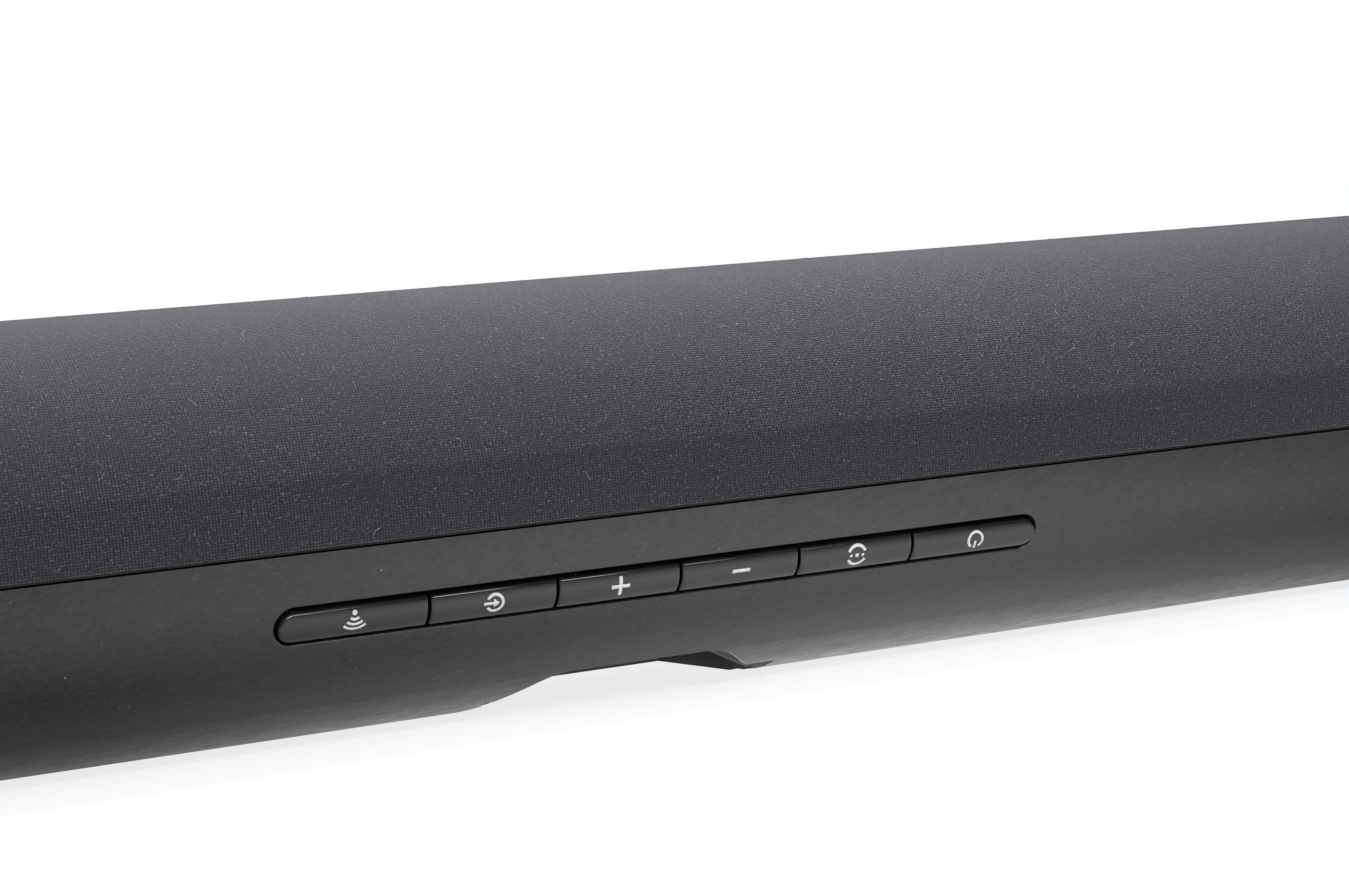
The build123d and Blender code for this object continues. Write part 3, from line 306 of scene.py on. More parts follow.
def key_axes(name):
    """Middle, half width and highest level of one cap, from its CAD node."""
    points = [vertex.co for vertex in frame["nodes"]["key_" + name].data.vertices]
    top = max(point.dot(key_out) for point in points)
    face = [point for point in points if point.dot(key_out) > top - 1.5 * cap_crown]
    rights = [point.dot(key_right) for point in face]
    ups = [point.dot(key_up) for point in face]
    middle = key_right * (max(rights) + min(rights)) / 2 + key_up * (max(ups) + min(ups)) / 2
    return middle, (max(rights) - min(rights)) / 2, top


def outline(half_width, half_height, corners, inset):
    """Points round a cap, moved inwards; corners are the left and right corner radii."""
    left, right = corners
    ring = []
    for radius, sign, start in ((right, 1, -90), (right, 1, 0), (left, -1, 90), (left, -1, 180)):
        reach = max(radius - inset, 0.0)
        centre_x = sign * (half_width - max(radius, inset))
        centre_y = half_height - max(radius, inset)
        if start in (-90, 180):
            centre_y = -centre_y
        for step in range(arc_steps + 1):
            angle = math.radians(start + 90 * step / arc_steps)
            ring.append(
                (centre_x + reach * math.cos(angle), centre_y + reach * math.sin(angle))
            )
        if start in (-90, 90):
            next_y = -centre_y
            edge_x = centre_x + sign * reach
            for step in range(1, side_steps):
                ring.append((edge_x, centre_y + (next_y - centre_y) * step / side_steps))
    return ring


def cap_height(across):
    """Height of the crown below its top, at a distance across from the middle."""
    return -cap_crown * (across / cap_half) ** 2


def key_piece(name, corners):
    """Closed mesh of one key, in its own plane: right, up, out."""
    middle, half_width, top = key_axes(name)
    mesh = bmesh.new()

    def place(point):
        return mesh.verts.new(middle + key_right * point[0] + key_up * point[1]
                              + key_out * (top + point[2]))

    plane_level = -cap_proud
    levels = [[(x, y, plane_level - flange_depth[0]) for x, y in
               outline(half_width, cap_half, corners, 0.0)]]
    for step in range(shoulder_steps + 1):
        turn = math.radians(90 * step / shoulder_steps)
        inset = shoulder * (1 - math.cos(turn))
        drop = shoulder * (1 - math.sin(turn))
        levels.append([(x, y, cap_height(y) - drop) for x, y in
                       outline(half_width, cap_half, corners, inset)])
    for share in crown_rings:
        inset = shoulder + (cap_half - shoulder) * share
        levels.append([(x, y, cap_height(y)) for x, y in
                       outline(half_width, cap_half, corners, inset)])
    loops = [[place(point) for point in level] for level in levels]
    count = len(loops[0])
    for lower, upper in zip(loops, loops[1:]):
        for index in range(count):
            after = (index + 1) % count
            mesh.faces.new((lower[index], lower[after], upper[after], upper[index]))
    mesh.faces.new(loops[-1])
    mesh.faces.new(list(reversed(loops[0])))
    bmesh.ops.remove_doubles(mesh, verts=mesh.verts, dist=weld)
    # the retaining flange behind the wall
    flange_width = half_width - flange_end_gap
    flange = []
    for depth in flange_depth:
        level = plane_level - depth + (flange_lap if depth == flange_depth[0] else 0.0)
        flange.append(
            [
                place((x, y, level))
                for x, y in outline(flange_width, flange_half, (flange_corner, flange_corner), 0.0)
            ]
        )
    for index in range(count):
        after = (index + 1) % count
        mesh.faces.new((flange[1][index], flange[1][after], flange[0][after], flange[0][index]))
    mesh.faces.new(flange[0])
    mesh.faces.new(list(reversed(flange[1])))
    # the stem that reaches back to the switch
    stem = []
    for depth in (flange_depth[1] - stem_lap, stem_end):
        stem.append(
            [
                place(
                    (
                        stem_radius * math.cos(turn),
                        stem_radius * math.sin(turn),
                        plane_level - depth,
                    )
                )
                for turn in (math.tau * side / stem_sides for side in range(stem_sides))
            ]
        )
    for index in range(stem_sides):
        after = (index + 1) % stem_sides
        mesh.faces.new((stem[1][index], stem[1][after], stem[0][after], stem[0][index]))
    mesh.faces.new(stem[0])
    mesh.faces.new(list(reversed(stem[1])))
    bmesh.ops.dissolve_degenerate(mesh, edges=mesh.edges, dist=0.001 * mm)
    bmesh.ops.recalc_face_normals(mesh, faces=mesh.faces)
    return mesh


def shade(data, smooth_angle):
    """Smooth shading, but for edges sharper than the angle."""
    for polygon in data.polygons:
        polygon.use_smooth = True
    data.set_sharp_from_angle(angle=math.radians(smooth_angle))


def new_piece(name, mesh, material, smooth_angle=30):
    """An object at the origin from a bmesh, smooth but for its sharp edges."""
    data = bpy.data.meshes.new(name)
    mesh.to_mesh(data)
    mesh.free()
    data.materials.append(material)
    piece = bpy.data.objects.new(name, data)
    bpy.context.scene.collection.objects.link(piece)
    shade(data, smooth_angle)
    return piece


key_abs = moulded(
    "gloss_black_key_abs", "#0d0e11", "#16171a", 0.17, 0.3 * mm, 0.004 * mm, dust=0.12
)
end_radius = cap_half - 0.01 * mm
inner_radius = 0.3 * mm
for name in key_names:
    corners = (
        end_radius if name == key_names[0] else inner_radius,
        end_radius if name == key_names[-1] else inner_radius,
    )
    cap = new_piece("cap_" + name, key_piece(name, corners), key_abs)
    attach(cap, name + "_key")
    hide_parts("key_" + name)

# ---------------------------------------------------------------- key symbols
# White ink, pad-printed on the crown of each cap, so it is a film a few hundredths of a
# millimetre thick that follows the curve. The symbols are read from the front of the bar, so
# from behind they stand on their heads.
ink_line = 0.46 * mm
ink_bar = 0.58 * mm
ink_film = 0.02 * mm
symbol_radius = 1.35 * mm
symbol_rise = 0.22 * mm


def arc_points(radius, start, stop, centre=(0.0, 0.0), steps=36):
    """Points along an arc, angles in degrees."""
    return [
        (
            centre[0] + radius * math.cos(math.radians(start + (stop - start) * step / steps)),
            centre[1] + radius * math.sin(math.radians(start + (stop - start) * step / steps)),
        )
        for step in range(steps + 1)
    ]


def bar_points(start, end, steps=10):
    """Points along a straight bar."""
    return [
        (
            start[0] + (end[0] - start[0]) * step / steps,
            start[1] + (end[1] - start[1]) * step / steps,
        )
        for step in range(steps + 1)
    ]


def stroke(mesh, place, points, width, end_width=None):
    """A printed line along the points, of one width or tapered to another."""
    rows = []
    start_width = width
    for index, (x, y) in enumerate(points):
        if end_width is not None:
            share = index / (len(points) - 1)
            width = start_width + (end_width - start_width) * share
        before = points[max(index - 1, 0)]
        after = points[min(index + 1, len(points) - 1)]
        along = Vector((after[0] - before[0], after[1] - before[1], 0)).normalized()
        side = Vector((-along.y, along.x, 0)) * width / 2
        rows.append([place(x + side.x * part, y + side.y * part) for part in (-1, 0, 1)])
    for lower, upper in zip(rows, rows[1:]):
        for column in (0, 1):
            mesh.faces.new((lower[column], lower[column + 1], upper[column + 1], upper[column]))


def ink_strokes(name):
    """Lines of each symbol, as seen from behind: (points, width) or (points, width, end)."""
    r = symbol_radius
    arm = 1.6 * mm
    if name == "source":
        return [
            (arc_points(r, -150, 150), ink_line),
            (bar_points((-1.85 * mm, 0.0), (-0.15 * mm, 0.0)), ink_line),
            (bar_points((-0.2 * mm, 0.0), (0.75 * mm, 0.0)), 1.45 * mm, 0.05 * mm),
        ]
    if name == "volume_up":
        return [
            (bar_points((-arm, 0.0), (arm, 0.0)), ink_bar),
            (bar_points((0.0, ink_bar / 2), (0.0, arm)), ink_bar),
            (bar_points((0.0, -ink_bar / 2), (0.0, -arm)), ink_bar),
        ]
    if name == "volume_down":
        return [(bar_points((-arm, 0.0), (arm, 0.0)), ink_bar)]
    if name == "power":
        return [
            (arc_points(r, -62, 242), ink_line),
            (bar_points((0.0, -0.15 * mm), (0.0, -1.6 * mm)), ink_line),
        ]
    if name == "surround":
        speaker = 0.62 * mm
        return [
            (arc_points(r + 0.3 * mm, 24, 156), 1.15 * ink_line),
            (arc_points(r + 0.3 * mm, 204, 336), 1.15 * ink_line),
            (bar_points((-speaker / 2, 0.0), (speaker / 2, 0.0)), speaker),
            (bar_points((-1.3 * mm, 0.0), (-0.85 * mm, 0.0)), ink_line),
            (bar_points((0.85 * mm, 0.0), (1.3 * mm, 0.0)), ink_line),
        ]
    source = (0.0, 1.35 * mm)
    dot = 0.2 * mm
    waves = [
        (arc_points((0.8 * step + 0.2) * mm, 228, 312, source), 0.42 * mm) for step in (1, 2, 3)
    ]
    return [(arc_points(dot, 0, 360, source), 2 * dot - 0.02 * mm)] + waves


ink, ink_shader, ink_place = new_material("white_pad_print_ink")
ink_grain = add_node(
    ink, "ShaderNodeTexNoise", {"Scale": 1 / (0.3 * mm), "Detail": 3.0}, {"Vector": ink_place}
).outputs["Fac"]
ink_thinned = add_node(
    ink,
    "ShaderNodeMapRange",
    {"interpolation_type": "SMOOTHSTEP", "From Min": 0.4, "From Max": 0.75},
    {"Value": ink_grain},
).outputs["Result"]
ink.node_tree.links.new(
    add_node(
        ink,
        "ShaderNodeMix",
        {"data_type": "RGBA", 6: linear("#f1f3f4"), 7: linear("#e2e5e7")},
        {0: ink_thinned},
    ).outputs[2],
    ink_shader.inputs["Base Color"],
)
ink_shader.inputs["Roughness"].default_value = 0.5
for name in key_names:
    middle, half_width, top = key_axes(name)
    mesh = bmesh.new()

    def place(x, y):
        up = y + symbol_rise
        level = top + cap_height(up) + ink_film
        return mesh.verts.new(middle + key_right * x + key_up * up + key_out * level)

    for line in ink_strokes(name):
        stroke(mesh, place, *line)
    bmesh.ops.remove_doubles(mesh, verts=mesh.verts, dist=weld)
    for face in mesh.faces:
        face.normal_update()
        if face.normal.dot(key_out) < 0:
            face.normal_flip()
    symbol = new_piece("symbol_" + name, mesh, ink)
    film = symbol.modifiers.new("film", "SOLIDIFY")
    film.thickness = ink_film
    film.offset = -1
    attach(symbol, name + "_key")

# ---------------------------------------------------------------- grille cloth
# Acoustic cloth, a fine charcoal warp knit, stretched round the perforated cover and tucked in
# at the seam, where it is glued to the cover's edge. Over the cover's solid rim it lies a little
# flatter, and there its colour is painted darker as shade, which leaves a faint line about a
# centimetre above the seam.
cloth_low, cloth_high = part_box("grille_cloth")
front_top_radius = 20.0 * mm
front_low_radius = 12.0 * mm
base_level = shell_low.z
cloth_film = 0.35 * mm
edge_roll = 0.55 * mm
rim_band = 10.3 * mm
rim_flatness = 0.16 * mm
tuck = 1.4 * mm


def section_walk():
    """Points and outward normals of the bar's section, from the rear seam over the top."""
    rear_y = cloth_high.y
    front_y = cloth_low.y
    top_z = cloth_high.z
    centre_y = rear_y - rear_radius
    low_z = base_level + rear_radius
    high_z = top_z - rear_radius
    walk = []

    def arc(cy, cz, radius, start, stop, steps):
        for step in range(steps + 1):
            angle = math.radians(start + (stop - start) * step / steps)
            normal = Vector((0, math.cos(angle), math.sin(angle)))
            walk.append((Vector((0, cy, cz)) + normal * radius, normal))

    arc(centre_y, low_z, rear_radius, -8, 0, 16)
    arc(centre_y, high_z, rear_radius, 0, 90, 120)
    arc(front_y + front_top_radius, top_z - front_top_radius, front_top_radius, 90, 180, 60)
    arc(front_y + front_low_radius, base_level + front_low_radius, front_low_radius, 180, 222, 30)
    return walk


def seam_height(y):
    """Level of the cover's lower edge at depth y, from the rear seam to the front one."""
    rear = 31.85 * mm
    front = 8.45 * mm
    return front + (rear - front) * (y - cloth_low.y) / (cloth_high.y - cloth_low.y)


walk = [step for step in section_walk() if step[0].z > seam_height(step[0].y) + 0.02 * mm]
lengths = [0.0]
for (before, _), (after, _) in zip(walk, walk[1:]):
    lengths.append(lengths[-1] + (after - before).length)
wrap_length = lengths[-1]
wrap_steps = 150
roll_stations = [part * mm for part in (0.0, 0.04, 0.1, 0.2, 0.35, 0.55, 0.8, 1.2)]
rim_stations = [part * mm for part in (-1.2, -0.6, -0.3, 0.0, 0.3, 0.6, 1.2)]


def walk_at(distance):
    """Point and normal of the section at a distance along the cloth."""
    distance = min(max(distance, 0.0), wrap_length)
    for index in range(1, len(lengths)):
        if lengths[index] >= distance or index == len(lengths) - 1:
            span = max(lengths[index] - lengths[index - 1], 1e-9)
            share = (distance - lengths[index - 1]) / span
            point = walk[index - 1][0].lerp(walk[index][0], share)
            normal = walk[index - 1][1].lerp(walk[index][1], share).normalized()
            return point, normal


def roll(distance, limit):
    """How far the cloth has turned inwards, near an edge at that distance."""
    if distance >= edge_roll:
        return 0.0
    part = 1 - distance / edge_roll
    return limit * (1 - math.sqrt(max(1 - part * part, 0.0)))


# Stations along the section are closer where the cloth rolls in and where it crosses the rim.
stations = sorted(
    {round(part, 6) for part in roll_stations}
    | {round(wrap_length - part, 6) for part in roll_stations}
    | {round(rim_band + part, 6) for part in rim_stations}
    | {round(wrap_length * step / wrap_steps, 6) for step in range(wrap_steps + 1)}
)


def cloth_profile():
    """The cloth's section as points, each with its run along the cloth and its outward way."""
    rows = []
    for run in [-tuck] + stations + [wrap_length + tuck]:
        point, normal = walk_at(run)
        from_edge = min(max(run, 0.0), max(wrap_length - run, 0.0))
        part = min(from_edge / rim_band, 1.0)
        inset = roll(from_edge, edge_roll) + 4 * rim_flatness * part * (1 - part)
        if not 0.0 <= run <= wrap_length:
            inset += tuck
        rows.append((point - normal * inset, run, normal))
    data = bpy.data.meshes.new("cloth_profile")
    data.from_pydata([point for point, _, _ in rows], [], [])
    runs = data.attributes.new("run", "FLOAT", "POINT")
    ways = data.attributes.new("outward", "FLOAT_VECTOR", "POINT")
    for index, (_, run, normal) in enumerate(rows):
        runs.data[index].value = run
        ways.data[index].vector = normal
    return data


def growth_tree(name, sizes):
    """A Geometry Nodes tree with a start geometry and named sizes, and its inputs."""
    tree = bpy.data.node_groups.new(name, "GeometryNodeTree")
    tree.interface.new_socket("Geometry", in_out="INPUT", socket_type="NodeSocketGeometry")
    tree.interface.new_socket("Geometry", in_out="OUTPUT", socket_type="NodeSocketGeometry")
    for label, kind in sizes.items():
        tree.interface.new_socket(label, in_out="INPUT", socket_type="NodeSocket" + kind)
    return tree, add_node(tree, "NodeGroupInput").outputs


def end_tree(tree, geometry, material):
    """Ends a tree in Realize Instances and Set Material."""
    real = add_node(tree, "GeometryNodeRealizeInstances", None, {"Geometry": geometry})
    dressed = add_node(
        tree,
        "GeometryNodeSetMaterial",
        None,
        {"Geometry": real.outputs["Geometry"], "Material": material},
    )
    add_node(tree, "NodeGroupOutput", None, {"Geometry": dressed.outputs["Geometry"]})


def grow(name, start, tree, sizes):
    """Runs a tree on a start mesh and keeps what it makes as a plain mesh."""
    piece = bpy.data.objects.new(name, start)
    bpy.context.scene.collection.objects.link(piece)
    growth = piece.modifiers.new("growth", "NODES")
    growth.node_group = tree
    for socket in tree.interface.items_tree:
        if socket.in_out == "INPUT" and socket.name in sizes:
            growth[socket.identifier] = sizes[socket.name]
    grown = piece.evaluated_get(bpy.context.evaluated_depsgraph_get())
    plain = bpy.data.meshes.new_from_object(grown)
    piece.modifiers.remove(growth)
    piece.data = plain
    return piece


# The tree repeats the section along the bar, closer near the ends, where the cloth rolls in.
wrap_tree, wrap = growth_tree(
    "stretched_cloth",
    {
        "Cloth Length": "Float",
        "Columns": "Int",
        "Stations": "Int",
        "End Roll": "Float",
        "End Depth": "Float",
        "Material": "Material",
    },
)
grid = add_node(
    wrap_tree,
    "GeometryNodeMeshGrid",
    {"Size X": 1.0, "Size Y": 1.0},
    {"Vertices X": wrap["Columns"], "Vertices Y": wrap["Stations"]},
).outputs["Mesh"]
flat_place = add_node(wrap_tree, "GeometryNodeInputPosition").outputs[0]
flat = add_node(wrap_tree, "ShaderNodeSeparateXYZ", None, {"Vector": flat_place}).outputs["X"]
turn = add_node(
    wrap_tree, "ShaderNodeMath", {"operation": "MULTIPLY", 1: math.tau}, {0: flat}
).outputs[0]
ease = add_node(wrap_tree, "ShaderNodeMath", {"operation": "SINE"}, {0: turn}).outputs[0]
eased = add_node(
    wrap_tree,
    "ShaderNodeMath",
    {"operation": "MULTIPLY_ADD", 1: 0.99 / math.tau},
    {0: ease, 2: flat},
).outputs[0]
along = add_node(
    wrap_tree, "ShaderNodeMath", {"operation": "MULTIPLY"}, {0: eased, 1: wrap["Cloth Length"]}
).outputs[0]
half_length = add_node(
    wrap_tree, "ShaderNodeMath", {"operation": "MULTIPLY", 1: 0.5}, {0: wrap["Cloth Length"]}
).outputs[0]
from_middle = add_node(
    wrap_tree, "ShaderNodeMath", {"operation": "ABSOLUTE"}, {0: along}
).outputs[0]
from_end = add_node(
    wrap_tree, "ShaderNodeMath", {"operation": "SUBTRACT"}, {0: half_length, 1: from_middle}
).outputs[0]
ratio = add_node(
    wrap_tree, "ShaderNodeMath", {"operation": "DIVIDE"}, {0: from_end, 1: wrap["End Roll"]}
).outputs[0]
rolled = add_node(
    wrap_tree, "ShaderNodeMath", {"operation": "SUBTRACT", "use_clamp": True, 0: 1.0}, {1: ratio}
).outputs[0]
squared = add_node(
    wrap_tree, "ShaderNodeMath", {"operation": "MULTIPLY"}, {0: rolled, 1: rolled}
).outputs[0]
rest = add_node(
    wrap_tree, "ShaderNodeMath", {"operation": "SUBTRACT", 0: 1.0}, {1: squared}
).outputs[0]
root = add_node(wrap_tree, "ShaderNodeMath", {"operation": "SQRT"}, {0: rest}).outputs[0]
fall = add_node(
    wrap_tree, "ShaderNodeMath", {"operation": "SUBTRACT", 1: 1.0}, {0: root}
).outputs[0]
depth = add_node(
    wrap_tree, "ShaderNodeMath", {"operation": "MULTIPLY"}, {0: fall, 1: wrap["End Depth"]}
).outputs[0]
vertex_index = add_node(wrap_tree, "GeometryNodeInputIndex").outputs[0]
station = add_node(
    wrap_tree, "ShaderNodeMath", {"operation": "MODULO"}, {0: vertex_index, 1: wrap["Stations"]}
).outputs[0]
run_name = add_node(
    wrap_tree, "GeometryNodeInputNamedAttribute", {"data_type": "FLOAT", "Name": "run"}
).outputs["Attribute"]
way_name = add_node(
    wrap_tree, "GeometryNodeInputNamedAttribute", {"data_type": "FLOAT_VECTOR", "Name": "outward"}
).outputs["Attribute"]
sampled = [
    add_node(
        wrap_tree,
        "GeometryNodeSampleIndex",
        {"data_type": kind},
        {"Geometry": wrap["Geometry"], "Value": value, "Index": station},
    ).outputs["Value"]
    for kind, value in (("FLOAT_VECTOR", flat_place), ("FLOAT", run_name), ("FLOAT_VECTOR", way_name))
]
section_point, run, outward = sampled
across = add_node(
    wrap_tree, "ShaderNodeMath", {"operation": "ADD"}, {0: along, 1: half_length}
).outputs[0]
thread_place = add_node(
    wrap_tree, "ShaderNodeCombineXYZ", None, {"X": across, "Y": run}
).outputs["Vector"]
thread_place = add_node(
    wrap_tree,
    "GeometryNodeFieldOnDomain",
    {"data_type": "FLOAT_VECTOR", "domain": "POINT"},
    {"Value": thread_place},
).outputs["Value"]
threaded = add_node(
    wrap_tree,
    "GeometryNodeStoreNamedAttribute",
    {"data_type": "FLOAT2", "domain": "CORNER", "Name": "thread"},
    {"Geometry": grid, "Value": thread_place},
).outputs["Geometry"]
shift = add_node(wrap_tree, "ShaderNodeCombineXYZ", None, {"X": along}).outputs["Vector"]
place_on_bar = add_node(
    wrap_tree, "ShaderNodeVectorMath", {"operation": "ADD"}, {0: section_point, 1: shift}
).outputs["Vector"]
inward = add_node(
    wrap_tree, "ShaderNodeVectorMath", {"operation": "SCALE"}, {0: outward, "Scale": depth}
).outputs["Vector"]
wrapped = add_node(
    wrap_tree,
    "GeometryNodeSetPosition",
    None,
    {"Geometry": threaded, "Position": place_on_bar, "Offset": inward},
).outputs["Geometry"]
facing_out = add_node(wrap_tree, "GeometryNodeFlipFaces", None, {"Mesh": wrapped}).outputs["Mesh"]
end_tree(wrap_tree, facing_out, wrap["Material"])

knit, knit_shader, _ = new_material("charcoal_warp_knit")
thread = add_node(knit, "ShaderNodeUVMap", {"uv_map": "thread"}).outputs["UV"]
thread_axes = add_node(knit, "ShaderNodeSeparateXYZ", None, {"Vector": thread})
# The wales and courses are drawn coarser than the real knit, so that the loops show.
wale = 0.50 * mm
course = 0.42 * mm
wobble = add_node(
    knit, "ShaderNodeTexNoise", {"Scale": 1 / (3 * mm), "Detail": 2.0}, {"Vector": thread}
).outputs["Fac"]
zigzag = add_node(
    knit, "ShaderNodeMath", {"operation": "PINGPONG", 1: wale / 2}, {0: thread_axes.outputs["X"]}
).outputs[0]
slant = add_node(
    knit, "ShaderNodeMath", {"operation": "MULTIPLY", 1: 0.75 / wale}, {0: zigzag}
).outputs[0]
rows_up = add_node(
    knit,
    "ShaderNodeMath",
    {"operation": "MULTIPLY_ADD", 1: 1 / course},
    {0: thread_axes.outputs["Y"], 2: slant},
).outputs[0]
wavy = add_node(
    knit, "ShaderNodeMath", {"operation": "MULTIPLY_ADD", 1: 0.9}, {0: wobble, 2: rows_up}
).outputs[0]
phase = add_node(
    knit, "ShaderNodeMath", {"operation": "MULTIPLY", 1: math.tau}, {0: wavy}
).outputs[0]
loops_wave = add_node(knit, "ShaderNodeMath", {"operation": "SINE"}, {0: phase}).outputs[0]
groove = add_node(
    knit, "ShaderNodeMath", {"operation": "MULTIPLY", 1: 2 / wale}, {0: zigzag}
).outputs[0]
loop_height = add_node(
    knit, "ShaderNodeMath", {"operation": "MULTIPLY_ADD", 1: 0.5}, {0: loops_wave, 2: groove}
).outputs[0]
yarn = add_node(
    knit,
    "ShaderNodeTexNoise",
    {"Scale": 1 / (0.35 * mm), "Detail": 3.0, "Roughness": 0.65},
    {"Vector": thread},
).outputs["Fac"]
height = add_node(
    knit, "ShaderNodeMath", {"operation": "ADD"}, {0: loop_height, 1: yarn}
).outputs[0]
knit_bump = add_node(
    knit, "ShaderNodeBump", {"Strength": 1.0, "Distance": 0.07 * mm}, {"Height": height}
).outputs["Normal"]
tone = add_node(
    knit, "ShaderNodeTexNoise", {"Scale": 1 / (14 * mm), "Detail": 4.0}, {"Vector": thread}
).outputs["Fac"]
sparkle = add_node(
    knit,
    "ShaderNodeTexNoise",
    {"Scale": 1 / (0.42 * mm), "Detail": 3.0, "Roughness": 0.7},
    {"Vector": thread},
).outputs["Fac"]
# Painted light and shade: from the same height as the bump, the grooves between loops are coloured
# darker and the raised loops lighter.
loop_light_groove_shade = add_node(
    knit,
    "ShaderNodeMapRange",
    {"interpolation_type": "SMOOTHSTEP", "From Min": 0.3, "From Max": 1.8},
    {"Value": height},
).outputs["Result"]
knit_colour_and_shade = add_node(
    knit,
    "ShaderNodeMix",
    {"data_type": "RGBA", 6: linear("#17181b"), 7: linear("#505258")},
    {0: loop_light_groove_shade},
).outputs[2]
# Each layer is a pattern, the levels it fades in between, and its colour: uneven dye, then the
# bright and the dark filaments of the yarn.
for pattern, low, high, colour in (
    (tone, 0.3, 0.9, "#35373b"),
    (sparkle, 0.56, 0.74, "#8c8e97"),
    (sparkle, 0.46, 0.30, "#0e0f12"),
):
    share = add_node(
        knit,
        "ShaderNodeMapRange",
        {"interpolation_type": "SMOOTHSTEP", "From Min": low, "From Max": high},
        {"Value": pattern},
    ).outputs["Result"]
    knit_colour_and_shade = add_node(
        knit, "ShaderNodeMix", {"data_type": "RGBA", 7: linear(colour)}, {0: share, 6: knit_colour_and_shade}
    ).outputs[2]
# Painted shade: over the cover's solid rim, next to the seam, the cloth's colour is made about a
# fifth darker.
edge_run = add_node(
    knit,
    "ShaderNodeMath",
    {"operation": "PINGPONG", 1: wrap_length / 2},
    {0: thread_axes.outputs["Y"]},
).outputs[0]
rim_band_shade = add_node(
    knit,
    "ShaderNodeMapRange",
    {
        "interpolation_type": "SMOOTHSTEP",
        "From Min": rim_band + 0.9 * mm,
        "From Max": rim_band - 0.9 * mm,
    },
    {"Value": edge_run},
).outputs["Result"]
knit_colour_and_shade = add_node(
    knit,
    "ShaderNodeMix",
    {"data_type": "RGBA", "blend_type": "MULTIPLY", 7: (0.77, 0.77, 0.78, 1.0)},
    {0: rim_band_shade, 6: knit_colour_and_shade},
).outputs[2]
dust_specks = specks(knit, thread, 1.0 * mm, 0.15 * mm, 0.16)
fluff = specks(knit, thread, 5.0 * mm, 0.24 * mm, 0.15)
for share, colour in ((dust_specks, "#858488"), (fluff, "#b2b0af")):
    knit_colour_and_shade = add_node(
        knit, "ShaderNodeMix", {"data_type": "RGBA", 7: linear(colour)}, {0: share, 6: knit_colour_and_shade}
    ).outputs[2]
knit.node_tree.links.new(knit_colour_and_shade, knit_shader.inputs["Base Color"])
knit.node_tree.links.new(knit_bump, knit_shader.inputs["Normal"])
knit_shader.inputs["Roughness"].default_value = 0.9
knit_shader.inputs["Specular IOR Level"].default_value = 0.25
knit_shader.inputs["Sheen Weight"].default_value = 0.43
knit_shader.inputs["Sheen Roughness"].default_value = 0.5
knit_shader.inputs["Sheen Tint"].default_value = linear("#c9c9cc")

cloth_span = cloth_high.x - cloth_low.x
cloth = grow(
    "knitted_cloth",
    cloth_profile(),
    wrap_tree,
    {
        "Cloth Length": cloth_span,
        "Columns": 110,
        "Stations": len(stations) + 2,
        "End Roll": edge_roll,
        "End Depth": 0.3 * mm,
        "Material": knit,
    },
)
shade(cloth.data, 60)
bare_cloth = cloth.data.copy()
body = cloth.modifiers.new("cloth", "SOLIDIFY")
body.thickness = cloth_film
body.offset = -1
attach(cloth, "housing")
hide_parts("grille_cloth")

# ---------------------------------------------------------------- lint on the cloth
# Short pale fibres that the knit has caught, each bowed and lying flat on it. They are thicker
# than real lint, so that they show.
lint_tree, lint = growth_tree(
    "caught_lint",
    {
        "Density": "Float",
        "Fibre Radius": "Float",
        "Seed": "Int",
        "Material": "Material",
    },
)
scatter = add_node(
    lint_tree,
    "GeometryNodeDistributePointsOnFaces",
    None,
    {"Mesh": lint["Geometry"], "Density": lint["Density"], "Seed": lint["Seed"]},
)
fibre_line = add_node(
    lint_tree,
    "GeometryNodeCurveQuadraticBezier",
    {
        "Resolution": 4,
        "Start": (-0.5 * mm, 0.0, 0.0),
        "Middle": (0.0, 0.45 * mm, 0.12 * mm),
        "End": (0.5 * mm, 0.0, 0.0),
    },
).outputs["Curve"]
fibre_round = add_node(
    lint_tree,
    "GeometryNodeCurvePrimitiveCircle",
    {"Resolution": 3},
    {"Radius": lint["Fibre Radius"]},
).outputs["Curve"]
fibre = add_node(
    lint_tree,
    "GeometryNodeCurveToMesh",
    {"Fill Caps": True},
    {"Curve": fibre_line, "Profile Curve": fibre_round},
).outputs["Mesh"]
any_turn = add_node(
    lint_tree,
    "FunctionNodeRandomValue",
    {"data_type": "FLOAT", 2: 0.0, 3: math.tau},
    {"Seed": lint["Seed"]},
).outputs[1]
fibre_size = add_node(
    lint_tree,
    "FunctionNodeRandomValue",
    {"data_type": "FLOAT_VECTOR", 0: (0.25, 0.1, 1.0), 1: (1.7, 1.3, 1.0)},
    {"Seed": lint["Seed"]},
).outputs[0]
twist = add_node(
    lint_tree, "FunctionNodeAxisAngleToRotation", {"Axis": (0.0, 0.0, 1.0)}, {"Angle": any_turn}
).outputs["Rotation"]
lie = add_node(
    lint_tree,
    "FunctionNodeRotateRotation",
    {"rotation_space": "LOCAL"},
    {"Rotation": scatter.outputs["Rotation"], "Rotate By": twist},
).outputs["Rotation"]
fibres = add_node(
    lint_tree,
    "GeometryNodeInstanceOnPoints",
    None,
    {"Points": scatter.outputs["Points"], "Instance": fibre, "Rotation": lie, "Scale": fibre_size},
).outputs["Instances"]
end_tree(lint_tree, fibres, lint["Material"])

